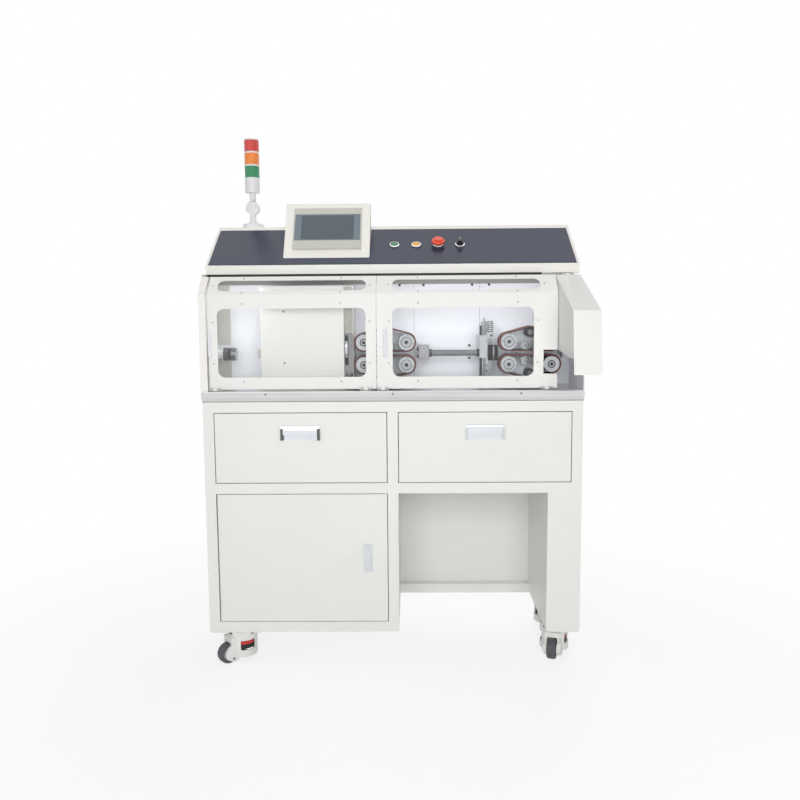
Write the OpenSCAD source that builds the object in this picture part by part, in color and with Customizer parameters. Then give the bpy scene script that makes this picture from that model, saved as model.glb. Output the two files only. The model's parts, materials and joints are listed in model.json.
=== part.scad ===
// Wire cutting stripping machine on a caster cabinet, in millimetres, +Z up.
// The origin is on the floor under the middle of the machine. The operator stands at -Y.

/* [Cabinet] */
// Width of the cabinet
cabinet_w = 1070; // [960:5:1300]
// Depth of the cabinet
cabinet_d = 350; // [342:1:440]
// Height of the cabinet without casters and table
cabinet_h = 671; // [600:1:760]
// Width of the face frame's stiles and rails
frame_w = 30; // [24:1:40]
// Depth of the face frame
frame_t = 25; // [20:1:34]
// Thickness of the sheet metal
sheet_t = 2; // [1:0.5:3]
// Width of the right leg box
leg_w = 96; // [80:1:130]
// Height of the drawer openings
drawer_h = 203; // [180:1:240]
// Length of the drawer boxes
drawer_len = 290; // [240:1:300]
// Gap round drawer fronts and the door
front_gap = 2; // [1.5:0.5:4]
// Depth of the folded drawer fronts and door
fold_t = 18; // [14:1:22]
// Depth of the rail across the back of the kneehole
back_rail_t = 30; // [15:1:60]
// Width of the drawer pulls
pull_w = 110; // [80:1:140]
// Height of the drawer pulls
pull_h = 42; // [34:1:60]
// Height of the door latch plate
latch_h = 84; // [70:1:110]

/* [Casters] */
// Height of the casters with their plates
caster_h = 97; // [93:1:110]
// Distance of the left caster hubs from the side
caster_left_inset = 85; // [60:1:100]
// Distance of the right caster hubs from the side
caster_right_inset = 57; // [50:1:64]
// Distance of the rear left caster hub from the side
caster_rear_left_inset = 60; // [46:1:90]
// Distance of the rear right caster hub from the side
caster_rear_right_inset = 43; // [40:1:64]
// Distance of the front left caster hub from the front
caster_left_inset_y = 44; // [40:1:60]
// Distance of the front right caster hub from the front
caster_right_inset_y = 84; // [60:1:90]
// Distance of the rear caster hubs from the back
caster_rear_inset = 60; // [50:1:90]
// Radius of the caster wheels
wheel_r = 30; // [26:0.5:31]
// Width of the caster wheels
wheel_w = 26; // [18:1:28]
// Distance from hub to wheel axle
caster_trail = 50; // [50:1:56]
// Radius of the caster body
pod_r = 42; // [40:0.5:44]

/* [Table and guards] */
// Thickness of the table top
table_t = 30; // [22:1:40]
// How far the front rail stands out of the cabinet
rail_out = 6; // [2:0.5:12]
// Height of the console's underside above the table
bay_h = 329; // [310:1:400]
// Height of the guards' bend above the table
bend_h = 271; // [262:1:290]
// Depth of the guards' slanted top
slant_d = 48; // [40:1:52]
// Place of the split between the covers
cover_split_x = -43.5; // [-60:0.5:-30]
// Width of the infeed hood
hood_w = 71; // [64:1:90]
// How far the hood reaches in front of the cabinet
hood_reach = 205; // [160:1:240]
// Height of the hood's front edge above the table
hood_bottom_h = 57; // [30:1:80]
// Thickness of the clear panes
pane_t = 3; // [2:0.5:5]

/* [Console] */
// Distance of the console's lip from the cabinet front
lip_y = 83; // [80:1:110]
// Height of the console's lip
lip_h = 26; // [20:1:40]
// Slope of the control panel in degrees
slope = 34.2; // [28:0.1:38]
// Depth of the sloping part
slope_d = 170; // [165:1:185]
// Height of the rear step above the slope
top_step = 11; // [6:1:20]
// Thickness of the control panel plate
panel_t = 2; // [1.5:0.5:3]
// Width of the cream border beside the control panel
panel_border = 8; // [5:1:16]
// Pitch of the four controls
control_pitch = 64.5; // [52:0.5:70]
// Diameter of the control barrels
control_d = 22; // [16:0.5:25]
// Lean of the operator screen from upright in degrees
screen_lean = 31.1; // [24:0.1:36]
// Width of the screen housing
screen_w = 251; // [230:1:280]
// Height of the screen housing along its face
screen_h = 197; // [190:1:215]

/* [Signal tower] */
// Distance of the signal tower from the left side
tower_inset = 99.5; // [60:0.5:120]
// Diameter of the lenses
lens_d = 45; // [36:1:60]
// Height of one lens
lens_h = 34; // [28:1:45]
// Height of the rings between the lenses
lens_ring_h = 5; // [3:0.5:8]

/* [Wire path] */
// Height of the wire above the table
wire_h = 100; // [97:1:106]
// Distance of the wire from the cabinet front
wire_y = 107; // [104:1:112]
// Distance of the mechanism wall from the cabinet front
wall_y = 200; // [195:1:206]
// Radius of the feed pulleys under the belt
pulley_r = 24; // [22:0.5:25]
// Thickness of the belts
belt_t = 3; // [2:0.5:4]
// Width of the belts
belt_w = 50; // [36:1:52]
// Distance between the shafts of one belt
feed_span = 123; // [120:1:126]
// Gap between the upper and the lower belt
nip = 11; // [8:0.5:14]
// Radius of the wire bores in nozzle, tube and blocks
wire_bore_r = 5; // [3:0.5:6]
// Travel of each blade holder
blade_travel = 7; // [4:0.5:8]

/* [Hidden] */
$fn = 64;

// Finishes
cream = [0.91, 0.91, 0.89];
steel = [0.72, 0.73, 0.75];
dark = [0.12, 0.12, 0.13];
slate = [0.28, 0.30, 0.37];
black = [0.05, 0.05, 0.06];

// Clearance between pieces that move past each other
slip = 0.3;
// Length that cutters reach past a face
over = 1;
// Film between two slanted faces that touch
film = 0.02;

// Cabinet levels and places
half_w = cabinet_w / 2;
front_y = -(cabinet_d - hood_reach) / 2;
cabinet_z1 = caster_h + cabinet_h;
deck_z = cabinet_z1 + table_t;
bay_w = (cabinet_w - 3 * frame_w) / 2;
bay_x = (frame_w + bay_w) / 2;
drawer_z1 = cabinet_z1 - frame_w;
drawer_z0 = drawer_z1 - drawer_h;
door_z0 = caster_h + frame_w;
door_z1 = drawer_z0 - frame_w;
leg_x = half_w - leg_w;

// Drawer boxes and runners
runner_w = 13;
box_half_w = bay_w / 2 - runner_w - 2;
box_z0 = drawer_z0 + 14;
box_z1 = drawer_z1 - 26;
pull_z = drawer_z1 - 57;
pull_t = 14;
ledge_w = 14;
ledge_t = 8;

// Door and latch
door_x0 = -half_w + frame_w + front_gap;
door_x1 = -frame_w / 2 - front_gap;
door_roll_r = 5;
door_axis_x = door_x0 + door_roll_r;
door_pin_r = 2.5;
door_pin_len = 12;
latch_x = door_x1 - 56;
latch_w = 27;
latch_t = 2.5;
latch_z = (door_z0 + door_z1) / 2;
lever_w = 12;
lever_t = 4;
lever_h = latch_h * 0.62;
lever_z = latch_z - lever_h / 2;
lever_y = -latch_t - slip - lever_t / 2;
lever_pin_r = 1;

// Casters: hub places and the way each wheel trails
hub_fl = [-half_w + caster_left_inset, caster_left_inset_y];
hub_fr = [half_w - caster_right_inset, caster_right_inset_y];
hub_rl = [-half_w + caster_rear_left_inset, cabinet_d - caster_rear_inset];
hub_rr = [half_w - caster_rear_right_inset, cabinet_d - caster_rear_inset];
turn_fl = 222;
turn_fr = 253;
turn_rear = 268;
plate_t = 4;
plate_edge = 3;
plate_d = 114;
left_plate_w = 150;
right_plate_w = 84;
king_r = 6;
king_len = 14;
pod_top = caster_h - plate_t - slip;
pod_z0 = 18;
pod_wall = 4;
pod_roof = wheel_r + 38;
fork_t = 8;
fork_top = wheel_r + 48;
cheek_r = 18;
boss_r = 12;
boss_t = 4;
port_back = 18;
port_front = 26;
port_z0 = wheel_r + 8;
axle_r = 4;
foot_r = 17;
foot_z = 8;
thumb_r = 27;
thumb_z = wheel_r + 25;
thumb_t = 10;
nut_r = 17.5;
nut_t = 12;

// Guards
cover_y = 10;
cover_bottom = deck_z + 5;
bend_z = deck_z + bend_h;
cover_top = bend_z + slant_d * 1.06;
console_z0 = deck_z + bay_h;
left_cover_x0 = -half_w + 20;
left_cover_x1 = cover_split_x - 0.5;
middle_cover_x0 = cover_split_x + 0.5;
hood_x1 = half_w + 1;
hood_x0 = hood_x1 - hood_w;
middle_cover_x1 = hood_x0 - 3;
slant_len = norm([slant_d, cover_top - bend_z]);
slant_angle = atan2(cover_top - bend_z, slant_d);
hinge_y = 4;
hinge_z = cover_bottom;
knuckle_r = 4;
knuckle_l = 11;
hinge_pin_r = 1.6;
window_r = 20;
hood_axis_y = lip_y - 5;
hood_axis_z = console_z0 - 7;
hood_top_y = hood_axis_y - knuckle_r - 1.2;
hood_brow_y = -hood_reach + 25;
hood_brow_z = deck_z + 220;

// Console
lip_z = console_z0 + lip_h;
slope_y1 = lip_y + slope_d;
slope_z1 = lip_z + slope_d * tan(slope);
console_top = slope_z1 + top_step;
rear_y = cabinet_d - 8;
panel_len = slope_d / cos(slope) - 2;
control_up = panel_len / 2 + 3;
control_x0 = -half_w + 540.9;
bezel_r = control_d / 2 + 4;
bezel_h = 5;
press_travel = 3.5;
screen_x = -half_w + 344.5;
screen_y = lip_y + 27;
screen_top_t = 15;
unit_w = 200;
unit_h = 146;
unit_t = 5;

// Signal tower
tower_x = -half_w + tower_inset;
tower_y = cabinet_d - 50;
tower_pivot_z = console_top + 62;
tower_disc_r = 20.5;
tower_disc_t = 13;
tower_post_r = 9;
tower_body_z = tower_pivot_z + 46;
tower_body_h = 46;
tower_core_r = 10;

// Wire path
wire_z = deck_z + wire_h;
feed_z = nip / 2 + pulley_r + belt_t;
belt_y0 = wire_y - belt_w / 2;
belt_y1 = wire_y + belt_w / 2;
outfeed_x = -half_w + 513.3;
infeed_x = half_w - 138.1;
shaft_r = 5;
idler_r = 14;
idler_rise = 27;
press_r = 13;
roller_pin_r = 4;
plate_y = wall_y - 60;
plate_inset = 4;
cutter_w = 238;
cutter_x0 = -half_w + 158;
cutter_x1 = cutter_x0 + cutter_w;
cutter_y = wire_y - 47;
cutter_top = deck_z + 295;
column_w = 26;
blade_x = cutter_x0 + 127;
blade_half_w = 20;
blade_block_y = wire_y - 7;
blade_gap = blade_travel + 1;
arc_steps = 24;
tube_x0 = outfeed_x + 127.7;
tube_x1 = infeed_x - 144.9;
tube_r = 9;
nozzle_r = 19;
nozzle_x1 = -half_w + 77;

function panel_z(y) = lip_z + panel_t / cos(slope) + (y - lip_y) * tan(slope);

// Shared shapes
module at_front() translate([0, front_y, 0]) children();

module slab(x0, x1, y0, y1, z0, z1) translate([x0, y0, z0]) cube([x1 - x0, y1 - y0, z1 - z0]);

module rod_x(y, z, r, x0, x1) translate([x0, y, z]) rotate([0, 90, 0]) cylinder(r = r, h = x1 - x0);

module rod_y(x, z, r, y0, y1) translate([x, y0, z]) rotate([-90, 0, 0]) cylinder(r = r, h = y1 - y0);

module rod_z(x, y, r, z0, z1) translate([x, y, z0]) cylinder(r = r, h = z1 - z0);

// An outline in Y and Z, drawn along X
module along_x(x0, x1) translate([x0, 0, 0]) rotate([90, 0, 90]) linear_extrude(x1 - x0) children();

// An outline in X and Z, drawn along Y
module along_y(y0, y1) translate([0, y1, 0]) rotate([90, 0, 0]) linear_extrude(y1 - y0) children();

module round_rect(x0, x1, z0, z1, r) {
    translate([x0 + r, z0]) square([x1 - x0 - 2 * r, z1 - z0]);
    translate([x0, z0 + r]) square([x1 - x0, z1 - z0 - 2 * r]);
    for (x = [x0 + r, x1 - r], z = [z0 + r, z1 - r]) translate([x, z]) circle(r);
}

// Cabinet
module cabinet_carcass() at_front() color(cream) {
    for (x = [-half_w, half_w - sheet_t])
        slab(x, x + sheet_t, frame_t, cabinet_d - sheet_t, caster_h, cabinet_z1);
    slab(-half_w, half_w, cabinet_d - sheet_t, cabinet_d, caster_h, cabinet_z1);
    slab(-half_w + sheet_t, frame_w / 2 - sheet_t, frame_t, cabinet_d - sheet_t, caster_h, caster_h + sheet_t);
    slab(leg_x, half_w - sheet_t, frame_t, cabinet_d - sheet_t, caster_h, caster_h + sheet_t);
    for (x = [frame_w / 2 - sheet_t, leg_x])
        slab(x, x + sheet_t, frame_t, cabinet_d - sheet_t, caster_h, drawer_z0 - frame_w);
    slab(-half_w + sheet_t, half_w - sheet_t, frame_t, cabinet_d - sheet_t, drawer_z0 - frame_w,
        drawer_z0 - frame_w + sheet_t);
    slab(frame_w / 2, leg_x, cabinet_d - sheet_t - back_rail_t, cabinet_d - sheet_t, caster_h, caster_h + frame_w);
    for (side = [-1, 1]) {
        drawer_runner(side * (half_w - sheet_t), side * (bay_x + box_half_w + slip));
        drawer_runner(0, side * (bay_x - box_half_w - slip));
    }
}

// A bar beside the drawer box, with a ledge under it
module drawer_runner(x_from, x_to) {
    inward = sign(x_to - x_from);
    x_ledge = x_to + inward * ledge_w;
    slab(min(x_from, x_to), max(x_from, x_to), frame_t, cabinet_d - sheet_t, box_z0 - slip - ledge_t,
        box_z0 + 40);
    slab(min(x_to, x_ledge), max(x_to, x_ledge), frame_t, cabinet_d - sheet_t, box_z0 - slip - ledge_t,
        box_z0 - slip);
}

module cabinet_face_frame() at_front() color(cream) {
    along_y(0, frame_t) difference() {
        translate([-half_w, caster_h]) square([cabinet_w, cabinet_h]);
        for (side = [-1, 1]) translate([side * bay_x - bay_w / 2, drawer_z0]) square([bay_w, drawer_h]);
        translate([-bay_x - bay_w / 2, door_z0]) square([bay_w, door_z1 - door_z0]);
        translate([frame_w / 2, caster_h - over]) square([leg_x - frame_w / 2, door_z1 - caster_h + over]);
    }
    for (z = [door_z0 - over, door_z1 - door_pin_len])
        rod_z(door_axis_x, door_roll_r, door_pin_r, z, z + door_pin_len + over);
}

module table_top() at_front() color(steel)
    slab(-half_w, half_w, 14, cabinet_d, cabinet_z1, deck_z);

module front_rail() at_front() color(steel) along_x(-half_w - 2, half_w + 2)
    polygon([[14, cabinet_z1], [2, cabinet_z1], [-rail_out, cabinet_z1 + table_t * 0.42], [-rail_out, deck_z],
        [14, deck_z]]);

module drawer(side) at_front() color(cream) translate([side * bay_x, 0, 0]) {
    edge = bay_w / 2 - front_gap;
    difference() {
        slab(-edge, edge, 0, fold_t, drawer_z0 + front_gap, drawer_z1 - front_gap);
        slab(-edge + sheet_t, edge - sheet_t, sheet_t, fold_t + over, drawer_z0 + front_gap + sheet_t,
            drawer_z1 - front_gap - sheet_t);
    }
    difference() {
        slab(-box_half_w, box_half_w, sheet_t, sheet_t + drawer_len, box_z0, box_z1);
        slab(-box_half_w + sheet_t, box_half_w - sheet_t, 2 * sheet_t, drawer_len, box_z0 + sheet_t, box_z1 + over);
    }
}

module drawer_left() drawer(-1);
module drawer_right() drawer(1);

// A pull with a finger pocket open at the bottom
module drawer_pull(side) at_front() color(steel) translate([side * bay_x, 0, pull_z]) difference() {
    slab(-pull_w / 2, pull_w / 2, -pull_t, 0, -pull_h / 2, pull_h / 2);
    slab(-pull_w / 2 + 5, pull_w / 2 - 5, -pull_t + 3, -2, -pull_h / 2 - over, pull_h / 2 - 12);
}

module drawer_left_pull() drawer_pull(-1);
module drawer_right_pull() drawer_pull(1);

module cupboard_door() at_front() color(cream) {
    z0 = door_z0 + front_gap;
    z1 = door_z1 - front_gap;
    post_w = 14;
    difference() {
        union() {
            slab(door_axis_x, door_x1, 0, fold_t, z0, z1);
            rod_z(door_axis_x, door_roll_r, door_roll_r, z0, z1);
        }
        slab(door_axis_x + post_w, door_x1 - sheet_t, sheet_t, fold_t + over, z0 + sheet_t, z1 - sheet_t);
        for (z = [z0 - over, z1 - door_pin_len]) rod_z(door_axis_x, door_roll_r, door_pin_r + slip, z, z + door_pin_len + over);
    }
    along_y(-latch_t, 0)
        round_rect(latch_x - latch_w / 2, latch_x + latch_w / 2, latch_z - latch_h / 2, latch_z + latch_h / 2, 6);
    for (s = [-1, 1])
        slab(latch_x + s * (lever_w / 2 + 1.4 + slip) - 1.4, latch_x + s * (lever_w / 2 + 1.4 + slip) + 1.4,
            lever_y - lever_t / 2, -latch_t, lever_z - lever_t / 2, lever_z + lever_t / 2);
    rod_x(lever_y, lever_z, lever_pin_r, latch_x - lever_w / 2 - 1.5, latch_x + lever_w / 2 + 1.5);
}

module door_latch_lever() at_front() color(steel) difference() {
    union() {
        slab(latch_x - lever_w / 2, latch_x + lever_w / 2, lever_y - lever_t / 2, lever_y + lever_t / 2, lever_z,
            lever_z + lever_h);
        rod_x(lever_y, lever_z, lever_t / 2, latch_x - lever_w / 2, latch_x + lever_w / 2);
    }
    rod_x(lever_y, lever_z, lever_pin_r + slip, latch_x - lever_w, latch_x + lever_w);
}

// Casters
module caster_plates() at_front() color(cream) {
    for (y = [plate_edge, cabinet_d - plate_edge - plate_d]) {
        slab(-half_w, -half_w + left_plate_w, y, y + plate_d, caster_h - plate_t, caster_h);
        slab(half_w - plate_edge - right_plate_w, half_w - plate_edge, y, y + plate_d, caster_h - plate_t, caster_h);
    }
    for (hub = [hub_fl, hub_fr, hub_rl, hub_rr])
        rod_z(hub[0], hub[1], king_r, caster_h - plate_t - king_len, caster_h - plate_t);
}

// A cast body round the levelling foot and its thumbwheel, with a fork for the wheel along local +X and a
// port on both sides that shows the thumbwheel
module caster_yoke(hub, turn) at_front() color(cream) translate(hub) rotate([0, 0, turn]) {
    fork_y = wheel_w / 2 + 1.2;
    fork_out = fork_y + fork_t;
    difference() {
        union() {
            rod_z(0, 0, pod_r, pod_z0, pod_top);
            slab(0, caster_trail, -fork_out, fork_out, wheel_r, fork_top);
            rod_y(caster_trail, wheel_r, cheek_r, -fork_out, fork_out);
            rod_y(caster_trail, wheel_r, boss_r, -fork_out - boss_t, fork_out + boss_t);
        }
        rod_z(0, 0, pod_r - pod_wall, pod_z0 - over, pod_roof);
        rod_z(0, 0, king_r + slip, caster_h - plate_t - king_len - slip, caster_h);
        slab(-port_back, port_front, -pod_r - over, pod_r + over, port_z0, pod_roof - over);
        rod_y(caster_trail, wheel_r, wheel_r + 2, -fork_y, fork_y);
    }
    rod_y(caster_trail, wheel_r, axle_r, -fork_out, fork_out);
    rod_z(0, 0, axle_r, foot_z, pod_roof + over);
    rod_z(0, 0, thumb_r, thumb_z, thumb_z + thumb_t);
    rod_z(0, 0, nut_r, thumb_z - nut_t - over, thumb_z - over);
    rod_z(0, 0, foot_r, foot_z, foot_z + 10);
}

module caster_yoke_fl() caster_yoke(hub_fl, turn_fl);
module caster_yoke_fr() caster_yoke(hub_fr, turn_fr);
module caster_yoke_rl() caster_yoke(hub_rl, turn_rear);
module caster_yoke_rr() caster_yoke(hub_rr, turn_rear);

module caster_wheel(hub, turn) at_front() color(dark) translate(hub) rotate([0, 0, turn]) difference() {
    rod_y(caster_trail, wheel_r, wheel_r, -wheel_w / 2, wheel_w / 2);
    rod_y(caster_trail, wheel_r, axle_r + slip, -wheel_w, wheel_w);
}

module caster_wheel_fl() caster_wheel(hub_fl, turn_fl);
module caster_wheel_fr() caster_wheel(hub_fr, turn_fr);
module caster_wheel_rl() caster_wheel(hub_rl, turn_rear);
module caster_wheel_rr() caster_wheel(hub_rr, turn_rear);

// Upper machine
module mechanism_wall() at_front() color(cream) {
    slab(-half_w + 1, half_w - sheet_t, wall_y, wall_y + 4, deck_z, console_z0);
    for (s = [-1, 1])
        slab(blade_x + s * (blade_half_w + slip + 5) - 5, blade_x + s * (blade_half_w + slip + 5) + 5, wall_y - 50,
            wall_y, deck_z + 15, cutter_top - 10);
}

module left_end_wall() at_front() color(cream) {
    difference() {
        along_x(-half_w - 2, -half_w + 1)
            polygon([[-4, deck_z], [-4, bend_z], [slant_d - 4, cover_top], [slant_d, console_z0],
                [rear_y, console_z0], [rear_y, deck_z]]);
        rod_x(wire_y, wire_z, nozzle_r * 0.65 + slip, -half_w - 5, -half_w + 5);
    }
    along_x(-half_w + 1, -half_w + 18)
        polygon([[-4, deck_z], [-4, bend_z], [slant_d - 4, cover_top], [slant_d - 1, cover_top], [-2, bend_z - 1],
            [-2, deck_z]]);
}

module right_end_plate() at_front() color(cream) {
    x0 = half_w - 1;
    along_x(x0, half_w + 2) {
        square_z1 = deck_z + 40;
        translate([16, deck_z]) square([wall_y - 16, square_z1 - deck_z]);
        translate([0, deck_z]) square([16, square_z1 - deck_z - 16]);
        translate([16, square_z1 - 16]) circle(16);
    }
    difference() {
        union() {
            slab(x0 - 43, x0 - 19, wire_y - 15, wire_y + 15, wire_z - 16, wire_z + 16);
            slab(x0 - 38, x0 - 24, wire_y, wall_y, wire_z - 10, wire_z + 10);
        }
        rod_x(wire_y, wire_z, wire_bore_r, x0 - 60, x0);
    }
}

module rear_cover() at_front() color(cream) {
    inlet_x = half_w - 130;
    inlet_z = deck_z + 50;
    difference() {
        union() {
            slab(-half_w + 1, half_w, rear_y - sheet_t, rear_y, deck_z, console_z0);
            slab(half_w - sheet_t, half_w, wall_y, rear_y - sheet_t, deck_z, console_z0);
            slab(inlet_x - 25, inlet_x + 25, rear_y, rear_y + 7, inlet_z - 16, inlet_z + 16);
        }
        slab(inlet_x - 14, inlet_x + 14, rear_y + 1, rear_y + 8, inlet_z - 10, inlet_z + 10);
        for (i = [0:7]) slab(-360, -240, rear_y - 5, rear_y + 5, deck_z + 120 + 16 * i, deck_z + 126 + 16 * i);
    }
}

// Places a shape on the sloping control panel: local +Y runs up the slope, +Z stands out of it
module on_panel() translate([0, lip_y, lip_z]) rotate([slope, 0, 0]) children();

module control_holes(r) on_panel()
    for (i = [0:3]) rod_z(control_x0 + i * control_pitch, control_up, r, -12, 12);

module console_shell() at_front() color(cream) difference() {
    along_x(-half_w, half_w)
        polygon([[lip_y, console_z0], [lip_y, lip_z], [slope_y1, slope_z1], [slope_y1 + 8, console_top],
            [rear_y, console_top], [rear_y, console_z0]]);
    along_x(-half_w + sheet_t, half_w - sheet_t)
        polygon([[lip_y + sheet_t, console_z0 + sheet_t], [lip_y + sheet_t, lip_z - sheet_t / 2],
            [slope_y1 + 2, slope_z1 - sheet_t], [slope_y1 + 10, console_top - sheet_t],
            [rear_y - sheet_t, console_top - sheet_t], [rear_y - sheet_t, console_z0 + sheet_t]]);
    slab(-half_w + 30, half_w - 30, wall_y + 10, rear_y - 10, console_z0 - over, console_z0 + sheet_t + over);
    control_holes(control_d / 2 + 1);
}

module console_panel() at_front() color(slate) difference() {
    on_panel() slab(-half_w + panel_border, half_w - panel_border, over, panel_len, 0, panel_t);
    control_holes(control_d / 2 + 1);
}

module hmi_housing() at_front() color(cream) {
    foot_z = panel_z(screen_y) + film;
    top_y = screen_y + screen_h * sin(screen_lean);
    top_z = foot_z + screen_h * cos(screen_lean);
    back_y = slope_y1 - 10;
    along_x(screen_x - screen_w / 2, screen_x + screen_w / 2)
        polygon([[screen_y, foot_z], [top_y, top_z],
            [top_y + screen_top_t * cos(screen_lean), top_z - screen_top_t * sin(screen_lean)],
            [back_y, panel_z(back_y) + film]]);
}

// Places a shape on the screen housing's face: local +Y runs up the face
module on_screen() translate([screen_x, screen_y, panel_z(screen_y) + film]) rotate([90 - screen_lean, 0, 0]) children();

module hmi_unit() at_front() color(steel) on_screen() translate([0, screen_h * 0.52, 0]) difference() {
    slab(-unit_w / 2, unit_w / 2, -unit_h / 2, unit_h / 2, 0, unit_t);
    slab(-unit_w / 2 + 22, unit_w / 2 - 22, -unit_h / 2 + 24, unit_h / 2 - 24, unit_t - 1, unit_t + over);
}

module control_bezels() at_front() color("silver") on_panel() for (i = [0:3]) difference() {
    rod_z(control_x0 + i * control_pitch, control_up, bezel_r, panel_t, panel_t + bezel_h);
    rod_z(control_x0 + i * control_pitch, control_up, control_d / 2 + slip, panel_t - over, panel_t + bezel_h + over);
}

// A plain push button in its barrel
module push_button(i, colour) at_front() color(colour) on_panel()
    rod_z(control_x0 + i * control_pitch, control_up, control_d / 2, -8, panel_t + bezel_h + 1.5);

module start_button() push_button(0, "green");
module pause_button() push_button(1, "goldenrod");

module stop_button() at_front() color("red") on_panel() translate([control_x0 + 2 * control_pitch, control_up, 0]) {
    head_z = panel_t + bezel_h + press_travel + 1;
    rod_z(0, 0, control_d / 2, -8, head_z);
    rod_z(0, 0, control_d * 0.9, head_z, head_z + 8);
    rod_z(0, 0, control_d * 0.62, head_z + 8, head_z + 13);
}

module selector_knob() at_front() color(black) on_panel() translate([control_x0 + 3 * control_pitch, control_up, 0]) {
    cap_z = panel_t + bezel_h + 0.5;
    rod_z(0, 0, control_d / 2, -8, cap_z + 3);
    slab(-3.5, 3.5, -control_d * 0.45, control_d * 0.45, cap_z + 3, cap_z + 14);
}

// Signal tower: the base keeps the front half of the folding joint, the post the rear half
module tower_base() at_front() color("white") {
    rod_z(tower_x, tower_y, 31.5, console_top, console_top + 14);
    rod_z(tower_x, tower_y, 16, console_top + 14, console_top + 22);
    rod_z(tower_x, tower_y, tower_post_r, console_top + 22, tower_pivot_z - tower_disc_r - 1);
    slab(tower_x - 8, tower_x + 8, tower_y - tower_disc_t, tower_y - slip, tower_pivot_z - tower_disc_r - 8,
        tower_pivot_z - 4);
    rod_y(tower_x, tower_pivot_z, tower_disc_r, tower_y - tower_disc_t, tower_y - slip);
    rod_y(tower_x, tower_pivot_z, 3, tower_y - slip, tower_y + tower_disc_t + 2);
}

module tower_post() at_front() color("white") {
    difference() {
        union() {
            rod_y(tower_x, tower_pivot_z, tower_disc_r, tower_y + slip, tower_y + tower_disc_t);
            slab(tower_x - 8, tower_x + 8, tower_y + slip, tower_y + tower_disc_t, tower_pivot_z + 4,
                tower_pivot_z + tower_disc_r + 8);
        }
        rod_y(tower_x, tower_pivot_z, 3 + slip, tower_y - over, tower_y + tower_disc_t + over);
    }
    rod_z(tower_x, tower_y, tower_post_r, tower_pivot_z + tower_disc_r + 1, tower_body_z);
    rod_z(tower_x, tower_y, lens_d / 2, tower_body_z, tower_body_z + tower_body_h);
    for (i = [1:3]) {
        ring_z = tower_body_z + tower_body_h + i * (lens_h + lens_ring_h) - lens_ring_h;
        rod_z(tower_x, tower_y, tower_core_r, ring_z - lens_h, ring_z);
        rod_z(tower_x, tower_y, lens_d / 2, ring_z, ring_z + lens_ring_h);
    }
}

// A tubular lens, counted from the bottom
module tower_lens(i, colour) at_front() color(colour) {
    z = tower_body_z + tower_body_h + i * (lens_h + lens_ring_h);
    difference() {
        rod_z(tower_x, tower_y, lens_d / 2, z, z + lens_h);
        rod_z(tower_x, tower_y, lens_d / 2 - 3, z - over, z + lens_h + over);
    }
}

module lens_green() tower_lens(0, "green");
module lens_amber() tower_lens(1, "orange");
module lens_red() tower_lens(2, "red");

// Guards: a front sheet and a slanted sheet in one bend, with a window, a slot and hinge knuckles
function hinge_places(x0, x1) = [x0 + 17, x1 - 30];

module cover(x0, x1, win_left, win_right, slot_right) at_front() color(cream) {
    difference() {
        along_x(x0, x1)
            polygon([[cover_y, cover_bottom], [cover_y, bend_z], [cover_y + slant_d, cover_top],
                [cover_y + slant_d + sheet_t, cover_top - sheet_t], [cover_y + sheet_t, bend_z - 1],
                [cover_y + sheet_t, cover_bottom]]);
        along_y(cover_y - 5, cover_y + 6)
            round_rect(x0 + win_left, x1 - win_right, cover_bottom + 34, bend_z - 40, window_r);
        translate([0, cover_y, bend_z]) rotate([slant_angle, 0, 0]) translate([0, 0, -8])
            linear_extrude(14) round_rect(x0 + win_left, x1 - slot_right, slot_low, slant_len - slot_top, slot_r);
    }
    for (x = hinge_places(x0, x1)) difference() {
        union() {
            rod_x(hinge_y, hinge_z, knuckle_r, x - knuckle_l / 2, x + knuckle_l / 2);
            slab(x - knuckle_l / 2, x + knuckle_l / 2, hinge_y, cover_y, hinge_z, hinge_z + knuckle_r);
        }
        rod_x(hinge_y, hinge_z, hinge_pin_r + slip, x - knuckle_l, x + knuckle_l);
    }
}

// A clear pane behind the window
module pane(x0, x1, win_left, win_right) at_front() color([0.8, 0.9, 0.95, 0.35]) {
    lap = 9;
    slab(x0 + win_left - lap, x1 - win_right + lap, cover_y + sheet_t, cover_y + sheet_t + pane_t,
        cover_bottom + 34 - lap, bend_z - 40 + lap);
}

window_left = 26;
left_window_right = 29;
middle_window_left = 45;
middle_window_right = 66;
middle_slot_right = 47;

// The slot's distances from the bend and from the sheet's top edge, and its corner radius
slot_low = 13;
slot_top = 14.5;
slot_r = 17;

// Notch for the wire in the middle cover's right edge
notch_w = 38.5;
notch_low = 55;
notch_high = 12;

module left_cover() cover(left_cover_x0, left_cover_x1, window_left, left_window_right, left_window_right);
module left_pane() pane(left_cover_x0, left_cover_x1, window_left, left_window_right);
module middle_cover() difference() {
    cover(middle_cover_x0, middle_cover_x1, middle_window_left, middle_window_right, middle_slot_right);
    at_front() slab(middle_cover_x1 - notch_w, middle_cover_x1 + over, cover_y - over, cover_y + sheet_t + over,
        wire_z - notch_low, wire_z + notch_high);
}
module middle_pane() pane(middle_cover_x0, middle_cover_x1, middle_window_left, middle_window_right);

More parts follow.
